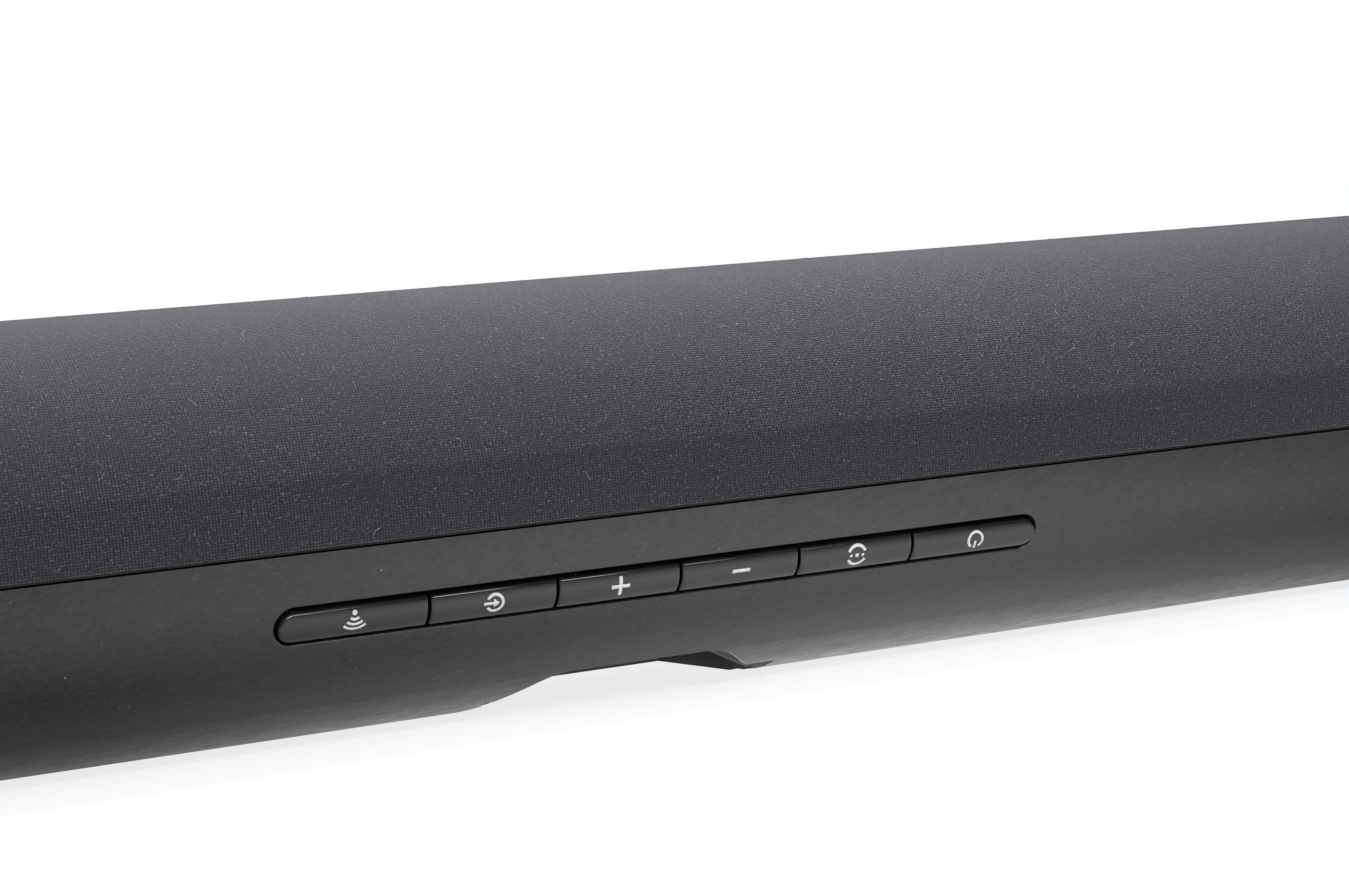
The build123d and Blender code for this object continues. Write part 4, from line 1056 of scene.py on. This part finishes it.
pale_fibre, fibre_shader, fibre_place = new_material("pale_cotton_fibre")
fibre_tone = add_node(
    pale_fibre,
    "ShaderNodeTexNoise",
    {"Scale": 1 / (6 * mm), "Detail": 2.0},
    {"Vector": fibre_place},
).outputs["Fac"]
bleached = add_node(
    pale_fibre,
    "ShaderNodeMapRange",
    {"interpolation_type": "SMOOTHSTEP", "From Min": 0.35, "From Max": 0.65},
    {"Value": fibre_tone},
).outputs["Result"]
pale_fibre.node_tree.links.new(
    add_node(
        pale_fibre,
        "ShaderNodeMix",
        {"data_type": "RGBA", 6: linear("#6f6e70"), 7: linear("#b4b2b0")},
        {0: bleached},
    ).outputs[2],
    fibre_shader.inputs["Base Color"],
)
fibre_shader.inputs["Roughness"].default_value = 0.85
outer = bmesh.new()
outer.from_mesh(bare_cloth)
threads = outer.loops.layers.uv["thread"]
hems = [
    face
    for face in outer.faces
    if not all(0.0 < loop[threads].uv.y < wrap_length for loop in face.loops)
]
bmesh.ops.delete(outer, geom=hems, context="FACES")
outer.to_mesh(bare_cloth)
outer.free()
lint_piece = grow(
    "cloth_lint",
    bare_cloth,
    lint_tree,
    {"Density": 24000.0, "Fibre Radius": 0.026 * mm, "Seed": 7, "Material": pale_fibre},
)
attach(lint_piece, "housing")

# ---------------------------------------------------------------- cover, cabinet and inner mouldings
# The perforated cover, the inner cabinet, the key frame and the socket tray are plain black ABS
# straight from the tool. With them come the nylon sockets and switches, the sleeves, tape and
# insulation of the electrics, and the acrylic light pipe.
plain_abs = moulded("tool_finish_abs", "#1a1a1b", "#232324", 0.55, 0.4 * mm, 0.01 * mm)
finish_nodes(plain_abs, ["front_cabinet", "grille_frame", "key_frame"])
matt_abs = moulded("matt_tray_abs", "#101011", "#181819", 0.6, 0.3 * mm, 0.012 * mm)
finish_nodes(matt_abs, ["connector_tray"])
nylon = moulded("glass_filled_nylon", "#141415", "#1e1e1f", 0.5, 0.2 * mm, 0.01 * mm)
finish_nodes(nylon, ["mains_inlet", "optical_socket", "aux_socket", "switch_bodies"])
finish_nodes(nylon, ["plunger_" + name for name in key_names])
sleeve = moulded("polyester_sleeve", "#1b2136", "#232b44", 0.3, 0.5 * mm, 0.004 * mm)
finish_nodes(sleeve, ["capacitors"])
tape = moulded("yellow_polyester_tape", "#b78a1c", "#c99b2c", 0.35, 0.6 * mm, 0.01 * mm)
finish_nodes(tape, ["power_transformer"])
wire_skin = moulded("soft_wire_insulation", "#4a1414", "#5a1c1c", 0.45, 0.5 * mm, 0.004 * mm)
finish_nodes(wire_skin, ["speaker_wires"])
ribbon_film = moulded("laminated_ribbon_film", "#c9cac7", "#d8d9d6", 0.3, 0.6 * mm, 0.004 * mm)
finish_nodes(ribbon_film, ["key_ribbon"])
milky = moulded("milky_acrylic", "#d9dcdc", "#e6e8e8", 0.3, 0.5 * mm, 0.002 * mm)
finish_nodes(milky, ["light_pipe"])

# ---------------------------------------------------------------- rubber and foam
# Feet and cone surrounds are moulded black rubber, matt and a little greyed by bloom. The driver
# gaskets are closed-cell foam cut from sheet, which looks dull and open.
rubber = moulded("moulded_black_rubber", "#19191a", "#252526", 0.75, 0.35 * mm, 0.02 * mm)
finish_nodes(rubber, ["left_surround", "right_surround"])


def loose_parts(name):
    """The points of each separate solid of a CAD node."""
    solid = bmesh.new()
    solid.from_mesh(frame["nodes"][name].data)
    bmesh.ops.remove_doubles(solid, verts=solid.verts, dist=0.001 * mm)
    waiting = set(solid.verts)
    parts = []
    while waiting:
        front = [waiting.pop()]
        part = []
        while front:
            vertex = front.pop()
            part.append(vertex.co.copy())
            for edge in vertex.link_edges:
                other = edge.other_vert(vertex)
                if other in waiting:
                    waiting.remove(other)
                    front.append(other)
        parts.append(part)
    solid.free()
    return parts


# Each foot is a rounded pad with ribs across its sole, pressed into one of the four pockets.
foot_low, foot_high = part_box("rubber_feet")
foot_thickness = foot_high.z - foot_low.z
foot_half_length = 15.0 * mm
foot_half_width = 4.5 * mm
foot_edge = 0.5 * mm
rib_height = 0.25 * mm
sole_level = 0.9 * rib_height + foot_edge
pad_edge_steps = 4
foot_tree, foot = growth_tree(
    "ribbed_feet",
    {
        "Pad": "Object",
        "Ribs": "Int",
        "Rib Pitch": "Float",
        "Rib Width": "Float",
        "Rib Length": "Float",
        "Rib Height": "Float",
        "Material": "Material",
    },
)
pad_mesh = add_node(
    foot_tree, "GeometryNodeObjectInfo", None, {"Object": foot["Pad"]}
).outputs["Geometry"]
rib_step = add_node(
    foot_tree, "ShaderNodeCombineXYZ", None, {"X": foot["Rib Pitch"]}
).outputs["Vector"]
rib_row = add_node(
    foot_tree,
    "GeometryNodeMeshLine",
    {"mode": "OFFSET"},
    {"Count": foot["Ribs"], "Offset": rib_step},
).outputs["Mesh"]
rib_size = add_node(
    foot_tree,
    "ShaderNodeCombineXYZ",
    None,
    {"X": foot["Rib Width"], "Y": foot["Rib Length"], "Z": foot["Rib Height"]},
).outputs["Vector"]
rib = add_node(foot_tree, "GeometryNodeMeshCube", None, {"Size": rib_size}).outputs["Mesh"]
ribs = add_node(
    foot_tree, "GeometryNodeInstanceOnPoints", None, {"Points": rib_row, "Instance": rib}
).outputs["Instances"]
row_size = add_node(
    foot_tree, "ShaderNodeMath", {"operation": "SUBTRACT", 1: 1.0}, {0: foot["Ribs"]}
).outputs[0]
row_start = add_node(
    foot_tree, "ShaderNodeMath", {"operation": "MULTIPLY"}, {0: row_size, 1: foot["Rib Pitch"]}
).outputs[0]
row_start = add_node(
    foot_tree, "ShaderNodeMath", {"operation": "MULTIPLY", 1: -0.5}, {0: row_start}
).outputs[0]
half_rib = add_node(
    foot_tree, "ShaderNodeMath", {"operation": "MULTIPLY", 1: 0.5}, {0: foot["Rib Height"]}
).outputs[0]
row_place = add_node(
    foot_tree, "ShaderNodeCombineXYZ", None, {"X": row_start, "Z": half_rib}
).outputs["Vector"]
ribs = add_node(
    foot_tree, "GeometryNodeTransform", None, {"Geometry": ribs, "Translation": row_place}
).outputs["Geometry"]
joined = add_node(foot_tree, "GeometryNodeJoinGeometry", None, {"Geometry": pad_mesh})
foot_tree.links.new(ribs, joined.inputs["Geometry"])
feet = add_node(
    foot_tree,
    "GeometryNodeInstanceOnPoints",
    None,
    {"Points": foot["Geometry"], "Instance": joined.outputs["Geometry"]},
).outputs["Instances"]
end_tree(foot_tree, feet, foot["Material"])

pad = bmesh.new()
pad_corner = foot_half_width - 0.01 * mm
pad_levels = [(0.0, foot_thickness), (0.0, sole_level)]
for step in range(1, pad_edge_steps + 1):
    turned = math.radians(90 * step / pad_edge_steps)
    pad_levels.append(
        (foot_edge * (1 - math.cos(turned)), sole_level - foot_edge * math.sin(turned))
    )
pad_rings = [
    [
        pad.verts.new((x, y, level))
        for x, y in outline(foot_half_length, foot_half_width, (pad_corner, pad_corner), inset)
    ]
    for inset, level in pad_levels
]
for upper, lower in zip(pad_rings, pad_rings[1:]):
    for index in range(len(upper)):
        after = (index + 1) % len(upper)
        pad.faces.new((upper[index], upper[after], lower[after], lower[index]))
pad.faces.new(pad_rings[0])
pad.faces.new(list(reversed(pad_rings[-1])))
bmesh.ops.remove_doubles(pad, verts=pad.verts, dist=weld)
bmesh.ops.recalc_face_normals(pad, faces=pad.faces)
pad_data = bpy.data.meshes.new("foot_pad")
pad.to_mesh(pad_data)
pad.free()
pad_object = bpy.data.objects.new("foot_pad", pad_data)
foot_starts = bpy.data.meshes.new("ribbed_foot_set")
foot_starts.from_pydata(
    [
        (
            (min(point.x for point in part) + max(point.x for point in part)) / 2,
            (min(point.y for point in part) + max(point.y for point in part)) / 2,
            foot_low.z,
        )
        for part in loose_parts("rubber_feet")
    ],
    [],
    [],
)
feet_piece = grow(
    "ribbed_foot_set",
    foot_starts,
    foot_tree,
    {
        "Pad": pad_object,
        "Ribs": 13,
        "Rib Pitch": 1.9 * mm,
        "Rib Width": 0.9 * mm,
        "Rib Length": 2 * (foot_half_width - 2 * foot_edge),
        "Rib Height": rib_height,
        "Material": rubber,
    },
)
bpy.data.objects.remove(pad_object)
shade(feet_piece.data, 40)
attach(feet_piece, "housing")
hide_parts("rubber_feet")
foam = moulded("closed_cell_foam", "#1f1f20", "#2b2b2c", 0.9, 0.8 * mm, 0.08 * mm)
finish_nodes(foam, ["driver_gaskets"])

# ---------------------------------------------------------------- metals
# Pressed and turned parts: black-zinc screws, zinc-plated plates, nickel pins, brass inserts, an
# extruded heatsink, enamelled copper coils. Each shows fine tool marks and uneven plating.


def metal(name, colour, worn, roughness, marks, depth, stretch=(1.0, 1.0, 1.0)):
    """Bare or plated metal: uneven film, and fine marks along one direction."""
    material, shader, place = new_material(name)
    film = add_node(
        material, "ShaderNodeTexNoise", {"Scale": 1 / (4 * mm), "Detail": 4.0}, {"Vector": place}
    ).outputs["Fac"]
    worn_share = add_node(
        material,
        "ShaderNodeMapRange",
        {"interpolation_type": "SMOOTHSTEP", "From Min": 0.35, "From Max": 0.7},
        {"Value": film},
    ).outputs["Result"]
    tint = add_node(
        material,
        "ShaderNodeMix",
        {"data_type": "RGBA", 6: linear(colour), 7: linear(worn)},
        {0: worn_share},
    ).outputs[2]
    drawn = add_node(
        material, "ShaderNodeMapping", {"Scale": stretch}, {"Vector": place}
    ).outputs["Vector"]
    scratch = add_node(
        material, "ShaderNodeTexNoise", {"Scale": 1 / marks, "Detail": 3.0}, {"Vector": drawn}
    ).outputs["Fac"]
    gloss = add_node(
        material,
        "ShaderNodeMapRange",
        {"To Min": roughness - 0.08, "To Max": roughness + 0.08},
        {"Value": scratch},
    ).outputs["Result"]
    bump = add_node(
        material, "ShaderNodeBump", {"Strength": 1.0, "Distance": depth}, {"Height": scratch}
    ).outputs["Normal"]
    material.node_tree.links.new(tint, shader.inputs["Base Color"])
    material.node_tree.links.new(gloss, shader.inputs["Roughness"])
    material.node_tree.links.new(bump, shader.inputs["Normal"])
    shader.inputs["Metallic"].default_value = 1.0
    return material


black_zinc = metal("black_zinc_steel", "#3a3a3c", "#4a4a4d", 0.38, 0.2 * mm, 0.004 * mm)
finish_nodes(black_zinc, ["case_screws", "driver_screws", "board_screws"])
zinc = metal("zinc_plated_steel", "#b4b6b5", "#9fa3a4", 0.33, 0.25 * mm, 0.004 * mm)
finish_nodes(
    zinc, [side + part for side in ("left_", "right_") for part in ("top_plate", "back_plate")]
)
nickel = metal("nickel_plated_pin", "#c9c4ba", "#b8b3a8", 0.22, 0.2 * mm, 0.002 * mm)
finish_nodes(nickel, ["inlet_pins"])
brass = metal("turned_brass", "#c79a4b", "#ae843d", 0.32, 0.2 * mm, 0.004 * mm)
finish_nodes(brass, ["bracket_inserts"])
extruded = metal(
    "extruded_aluminium", "#c3c6c8", "#b0b4b7", 0.36, 0.3 * mm, 0.006 * mm, (0.05, 1.0, 1.0)
)
finish_nodes(extruded, ["amplifier_heatsink"])
copper = metal("enamelled_copper", "#b3622f", "#9c5124", 0.3, 0.15 * mm, 0.01 * mm, (1.0, 6.0, 1.0))
finish_nodes(copper, ["left_voice_coil", "right_voice_coil"])

# ---------------------------------------------------------------- screws
# Pan-head self-tapping screws with a cross recess, cold-headed steel under black zinc. Eight
# hold the cabinet, eight the drivers, eight the boards and two the key board.


def lathe(profile, sides):
    """Closed mesh turned from (radius, level) points, the first and last of them on the axis."""
    turned = bmesh.new()
    rings = []
    for radius, level in profile[1:-1]:
        rings.append(
            [
                turned.verts.new((radius * math.cos(angle), radius * math.sin(angle), level))
                for angle in (math.tau * side / sides for side in range(sides))
            ]
        )
    for upper, lower in zip(rings, rings[1:]):
        for side in range(sides):
            after = (side + 1) % sides
            turned.faces.new((upper[side], lower[side], lower[after], upper[after]))
    for (_, level), ring in ((profile[0], rings[0]), (profile[-1], rings[-1])):
        pole = turned.verts.new((0.0, 0.0, level))
        for side in range(sides):
            turned.faces.new((ring[side], ring[(side + 1) % sides], pole))
    bmesh.ops.recalc_face_normals(turned, faces=turned.faces)
    data = bpy.data.meshes.new("turned")
    turned.to_mesh(data)
    turned.free()
    return data


def screw_profile(length):
    """Half section of a pan-head screw, head on top, its thread drawn as sharp rings."""
    head = 2.9 * mm
    head_height = 1.8 * mm
    crest = 1.5 * mm
    core = 1.15 * mm
    pitch = 1.1 * mm
    points = [(0.0, 0.0), (0.6 * head, 0.0), (0.85 * head, -0.15 * mm), (0.97 * head, -0.55 * mm)]
    points += [(head, -1.0 * mm), (head, -head_height), (crest, -head_height)]
    level = -head_height - 0.3 * mm
    while level - pitch > -length + pitch:
        points += [(crest, level), (core, level - pitch / 2)]
        level -= pitch
    return points + [(core, -length + pitch), (0.35 * mm, -length), (0.0, -length)]


screw_tree, screw = growth_tree(
    "pan_head_screws",
    {
        "Blank": "Object",
        "Recess Reach": "Float",
        "Recess Width": "Float",
        "Recess Depth": "Float",
        "Seed": "Int",
        "Material": "Material",
    },
)
blank_mesh = add_node(
    screw_tree, "GeometryNodeObjectInfo", None, {"Object": screw["Blank"]}
).outputs["Geometry"]
slots = []
for first, second in (("Recess Reach", "Recess Width"), ("Recess Width", "Recess Reach")):
    slot_size = add_node(
        screw_tree,
        "ShaderNodeCombineXYZ",
        None,
        {"X": screw[first], "Y": screw[second], "Z": screw["Recess Depth"]},
    ).outputs["Vector"]
    slots.append(
        add_node(screw_tree, "GeometryNodeMeshCube", None, {"Size": slot_size}).outputs["Mesh"]
    )
recessed = blank_mesh
for slot_mesh in slots:
    recessed = add_node(
        screw_tree,
        "GeometryNodeMeshBoolean",
        {"operation": "DIFFERENCE"},
        {"Mesh 1": recessed, "Mesh 2": slot_mesh},
    ).outputs["Mesh"]
facing = add_node(
    screw_tree, "GeometryNodeInputNamedAttribute", {"data_type": "FLOAT_VECTOR", "Name": "facing"}
).outputs["Attribute"]
upright = add_node(
    screw_tree, "FunctionNodeAlignRotationToVector", {"axis": "Z"}, {"Vector": facing}
).outputs["Rotation"]
stopped_at = add_node(
    screw_tree,
    "FunctionNodeRandomValue",
    {"data_type": "FLOAT", 2: 0.0, 3: math.pi / 2},
    {"Seed": screw["Seed"]},
).outputs[1]
driven = add_node(
    screw_tree, "FunctionNodeAxisAngleToRotation", {"Axis": (0.0, 0.0, 1.0)}, {"Angle": stopped_at}
).outputs["Rotation"]
driven = add_node(
    screw_tree,
    "FunctionNodeRotateRotation",
    {"rotation_space": "LOCAL"},
    {"Rotation": upright, "Rotate By": driven},
).outputs["Rotation"]
screws = add_node(
    screw_tree,
    "GeometryNodeInstanceOnPoints",
    None,
    {"Points": screw["Geometry"], "Instance": recessed, "Rotation": driven},
).outputs["Instances"]
end_tree(screw_tree, screws, screw["Material"])


def drive_screws(name, node, seed, facing_of):
    """Screws in the places of a CAD node's solids, each facing where the function says."""
    seats = []
    for part in loose_parts(node):
        middle = sum(part, Vector()) / len(part)
        out = facing_of(middle)
        reach = max(point.dot(out) for point in part)
        rim = [point for point in part if point.dot(out) > reach - 0.01 * mm]
        low = min(point.dot(out) for point in part)
        seats.append((sum(rim, Vector()) / len(rim), out, reach - low))
    blank = bpy.data.objects.new("screw_blank", lathe(screw_profile(seats[0][2]), 16))
    start = bpy.data.meshes.new(name)
    start.from_pydata([seat for seat, _, _ in seats], [], [])
    ways = start.attributes.new("facing", "FLOAT_VECTOR", "POINT")
    for index, (_, out, _) in enumerate(seats):
        ways.data[index].vector = out
    piece = grow(
        name,
        start,
        screw_tree,
        {
            "Blank": blank,
            "Recess Reach": 2.9 * mm,
            "Recess Width": 0.55 * mm,
            "Recess Depth": 1.9 * mm,
            "Seed": seed,
            "Material": black_zinc,
        },
    )
    bpy.data.objects.remove(blank)
    shade(piece.data, 35)
    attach(piece, "housing")
    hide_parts(node)


board_middle_limit = 15 * mm  # further back than this, a board screw holds the key board
drive_screws("case_screw_set", "case_screws", 3, lambda middle: Vector((0, 0, -1)))
drive_screws("driver_screw_set", "driver_screws", 5, lambda middle: Vector((0, -1, 0)))
drive_screws(
    "board_screw_set",
    "board_screws",
    8,
    lambda middle: -key_out if middle.y > board_middle_limit else Vector((0, 0, 1)),
)

# ---------------------------------------------------------------- driver soft and sintered parts
# Cone and dust cap are pressed paper pulp, the spider resin-dipped cotton, the magnet sintered
# ferrite, and the basket steel under black powder coat.
pulp = moulded("coated_paper_pulp", "#232323", "#303030", 0.8, 0.5 * mm, 0.05 * mm)
finish_nodes(pulp, [side + part for side in ("left_", "right_") for part in ("cone", "dust_cap")])
cotton = moulded("resin_dipped_cotton", "#a07a3c", "#b58e4d", 0.85, 0.4 * mm, 0.06 * mm)
finish_nodes(cotton, ["left_spider", "right_spider"])
ferrite = moulded("sintered_ferrite", "#2b2b2d", "#363638", 0.5, 0.4 * mm, 0.02 * mm)
finish_nodes(ferrite, ["left_magnet", "right_magnet"])
powder = moulded("black_powder_coat", "#171718", "#202022", 0.5, 0.5 * mm, 0.02 * mm)
finish_nodes(powder, ["left_basket", "right_basket"])

# ---------------------------------------------------------------- circuit boards
# Glass-fibre laminate under green solder mask, with the copper tracks showing as a lighter,
# slightly raised pattern.
laminate, laminate_shader, laminate_place = new_material("solder_masked_laminate")
tracks = add_node(
    laminate,
    "ShaderNodeTexBrick",
    {"Scale": 1 / (3 * mm), "Mortar Size": 0.06, "Brick Width": 1.7, "Row Height": 0.4},
    {"Vector": laminate_place},
).outputs["Fac"]
laminate.node_tree.links.new(
    add_node(
        laminate,
        "ShaderNodeMix",
        {"data_type": "RGBA", 6: linear("#124a2a"), 7: linear("#1f6b3d")},
        {0: tracks},
    ).outputs[2],
    laminate_shader.inputs["Base Color"],
)
laminate.node_tree.links.new(
    add_node(
        laminate, "ShaderNodeBump", {"Distance": 0.03 * mm}, {"Height": tracks}
    ).outputs["Normal"],
    laminate_shader.inputs["Normal"],
)
laminate_shader.inputs["Roughness"].default_value = 0.35
finish_nodes(laminate, ["main_board", "power_board", "key_board", "socket_board", "light_board"])

# ---------------------------------------------------------------- floor and backdrop
# A wide pale laminate tabletop under a white backdrop. Both are white to the camera, and the table
# keeps the bar's shadow. What glossy surfaces see of them is given: a quarter of the
# backdrop, and a glow of the table that is full behind the bar, beside the notch, and fades.
floor_half = 6.0
floor_data = bpy.data.meshes.new("tabletop")
floor_data.from_pydata(
    [
        (-floor_half, -floor_half, 0.0),
        (floor_half, -floor_half, 0.0),
        (floor_half, floor_half, 0.0),
        (-floor_half, floor_half, 0.0),
    ],
    [],
    [(0, 1, 2, 3)],
)
floor = bpy.data.objects.new("tabletop", floor_data)
bpy.context.scene.collection.objects.link(floor)
table_white = bpy.data.materials.new("white_laminate_tabletop")
table_white.use_nodes = True
table_tree = table_white.node_tree
table_shader = table_tree.nodes["Principled BSDF"]
table_shader.inputs["Base Color"].default_value = linear("#cfcfcf")
table_shader.inputs["Roughness"].default_value = 0.8
rays = add_node(table_white, "ShaderNodeLightPath")
reflected = add_node(
    table_white,
    "ShaderNodeMath",
    {"operation": "MAXIMUM"},
    {0: rays.outputs["Is Glossy Ray"], 1: rays.outputs["Is Transmission Ray"]},
).outputs[0]
lit_middle = (-48 * mm, 60 * mm, 0)
table_place = add_node(table_white, "ShaderNodeTexCoord").outputs["Object"]
from_lit_middle = add_node(
    table_white,
    "ShaderNodeVectorMath",
    {"operation": "DISTANCE", 1: lit_middle},
    {0: table_place},
).outputs["Value"]
glow_share = add_node(
    table_white,
    "ShaderNodeMapRange",
    {"From Min": 30 * mm, "From Max": 145 * mm, "To Min": 1.05, "To Max": 0.3},
    {"Value": from_lit_middle},
).outputs["Result"]
reflected_glow = add_node(
    table_white, "ShaderNodeMath", {"operation": "MULTIPLY"}, {0: reflected, 1: glow_share}
).outputs[0]
glow = add_node(
    table_white,
    "ShaderNodeMath",
    {"operation": "MULTIPLY_ADD", 1: 0.8},
    {0: rays.outputs["Is Camera Ray"], 2: reflected_glow},
).outputs[0]
table_tree.links.new(glow, table_shader.inputs["Emission Strength"])
table_shader.inputs["Emission Color"].default_value = (1.0, 1.0, 1.0, 1.0)
floor_data.materials.append(table_white)

world = bpy.context.scene.world or bpy.data.worlds.new("studio")
bpy.context.scene.world = world
world.use_nodes = True
backdrop = world.node_tree.nodes["Background"]
backdrop.inputs["Color"].default_value = (1.0, 1.0, 1.0, 1.0)
backdrop_rays = add_node(world, "ShaderNodeLightPath")
seen_directly = add_node(
    world,
    "ShaderNodeMath",
    {"operation": "MAXIMUM"},
    {0: backdrop_rays.outputs["Is Camera Ray"], 1: backdrop_rays.outputs["Is Transmission Ray"]},
).outputs[0]
backdrop_strength = add_node(
    world, "ShaderNodeMapRange", {"To Min": 0.25, "To Max": 1.0}, {"Value": seen_directly}
).outputs["Result"]
world.node_tree.links.new(backdrop_strength, backdrop.inputs["Strength"])

# ---------------------------------------------------------------- studio light
# A softbox with a grid above the bar, a weak one far off to the side, and a small strong one on
# the key side, which draws the highlight along the upper shoulders of the keys.


def softbox(name, position, target, width, length, power, grid=180):
    """A rectangular area light that faces a point, its beam narrowed by a grid."""
    data = bpy.data.lights.new(name, "AREA")
    data.shape = "RECTANGLE"
    data.size = width
    data.size_y = length
    data.energy = power
    data.spread = math.radians(grid)
    lamp = bpy.data.objects.new(name, data)
    lamp.location = position
    lamp.rotation_euler = (Vector(target) - Vector(position)).to_track_quat("-Z", "Y").to_euler()
    bpy.context.scene.collection.objects.link(lamp)
    return lamp


softbox("overhead_softbox", (0.0, -0.1, 0.48), (0.0, 0, 0), 0.42, 0.36, 1.05, 80)
softbox("side_softbox", (1.2, 0.9, 0.7), (0.1, 0, 0), 0.8, 0.8, 0.2)
softbox("rear_softbox", (-0.14, 1.0, 0.42), (0, 0, 0.03), 0.4, 0.2, 4.2)

# ---------------------------------------------------------------- camera
# A long lens half a metre behind the bar, level with its top, looking across the keys from their
# left. It is tipped down and rolled slightly.
camera_data = bpy.data.cameras.new("camera")
camera_data.sensor_width = 36.0
camera_data.lens = 83.53
camera_data.clip_start = 0.01
camera_data.clip_end = 50.0
camera = bpy.data.objects.new("camera", camera_data)
camera_place = Vector((0.2288, 0.4624, 0.0631))
camera_right = Vector((-0.8763, 0.4744, -0.0841)).normalized()
camera_forward = Vector((-0.4723, -0.8803, -0.0453))
camera_forward = (camera_forward - camera_forward.dot(camera_right) * camera_right).normalized()
camera_up = camera_right.cross(camera_forward)
camera.matrix_world = Matrix.Translation(camera_place) @ Matrix(
    (camera_right, camera_up, -camera_forward)
).transposed().to_4x4()
bpy.context.scene.collection.objects.link(camera)
bpy.context.scene.camera = camera
bpy.context.scene.view_settings.view_transform = "Standard"
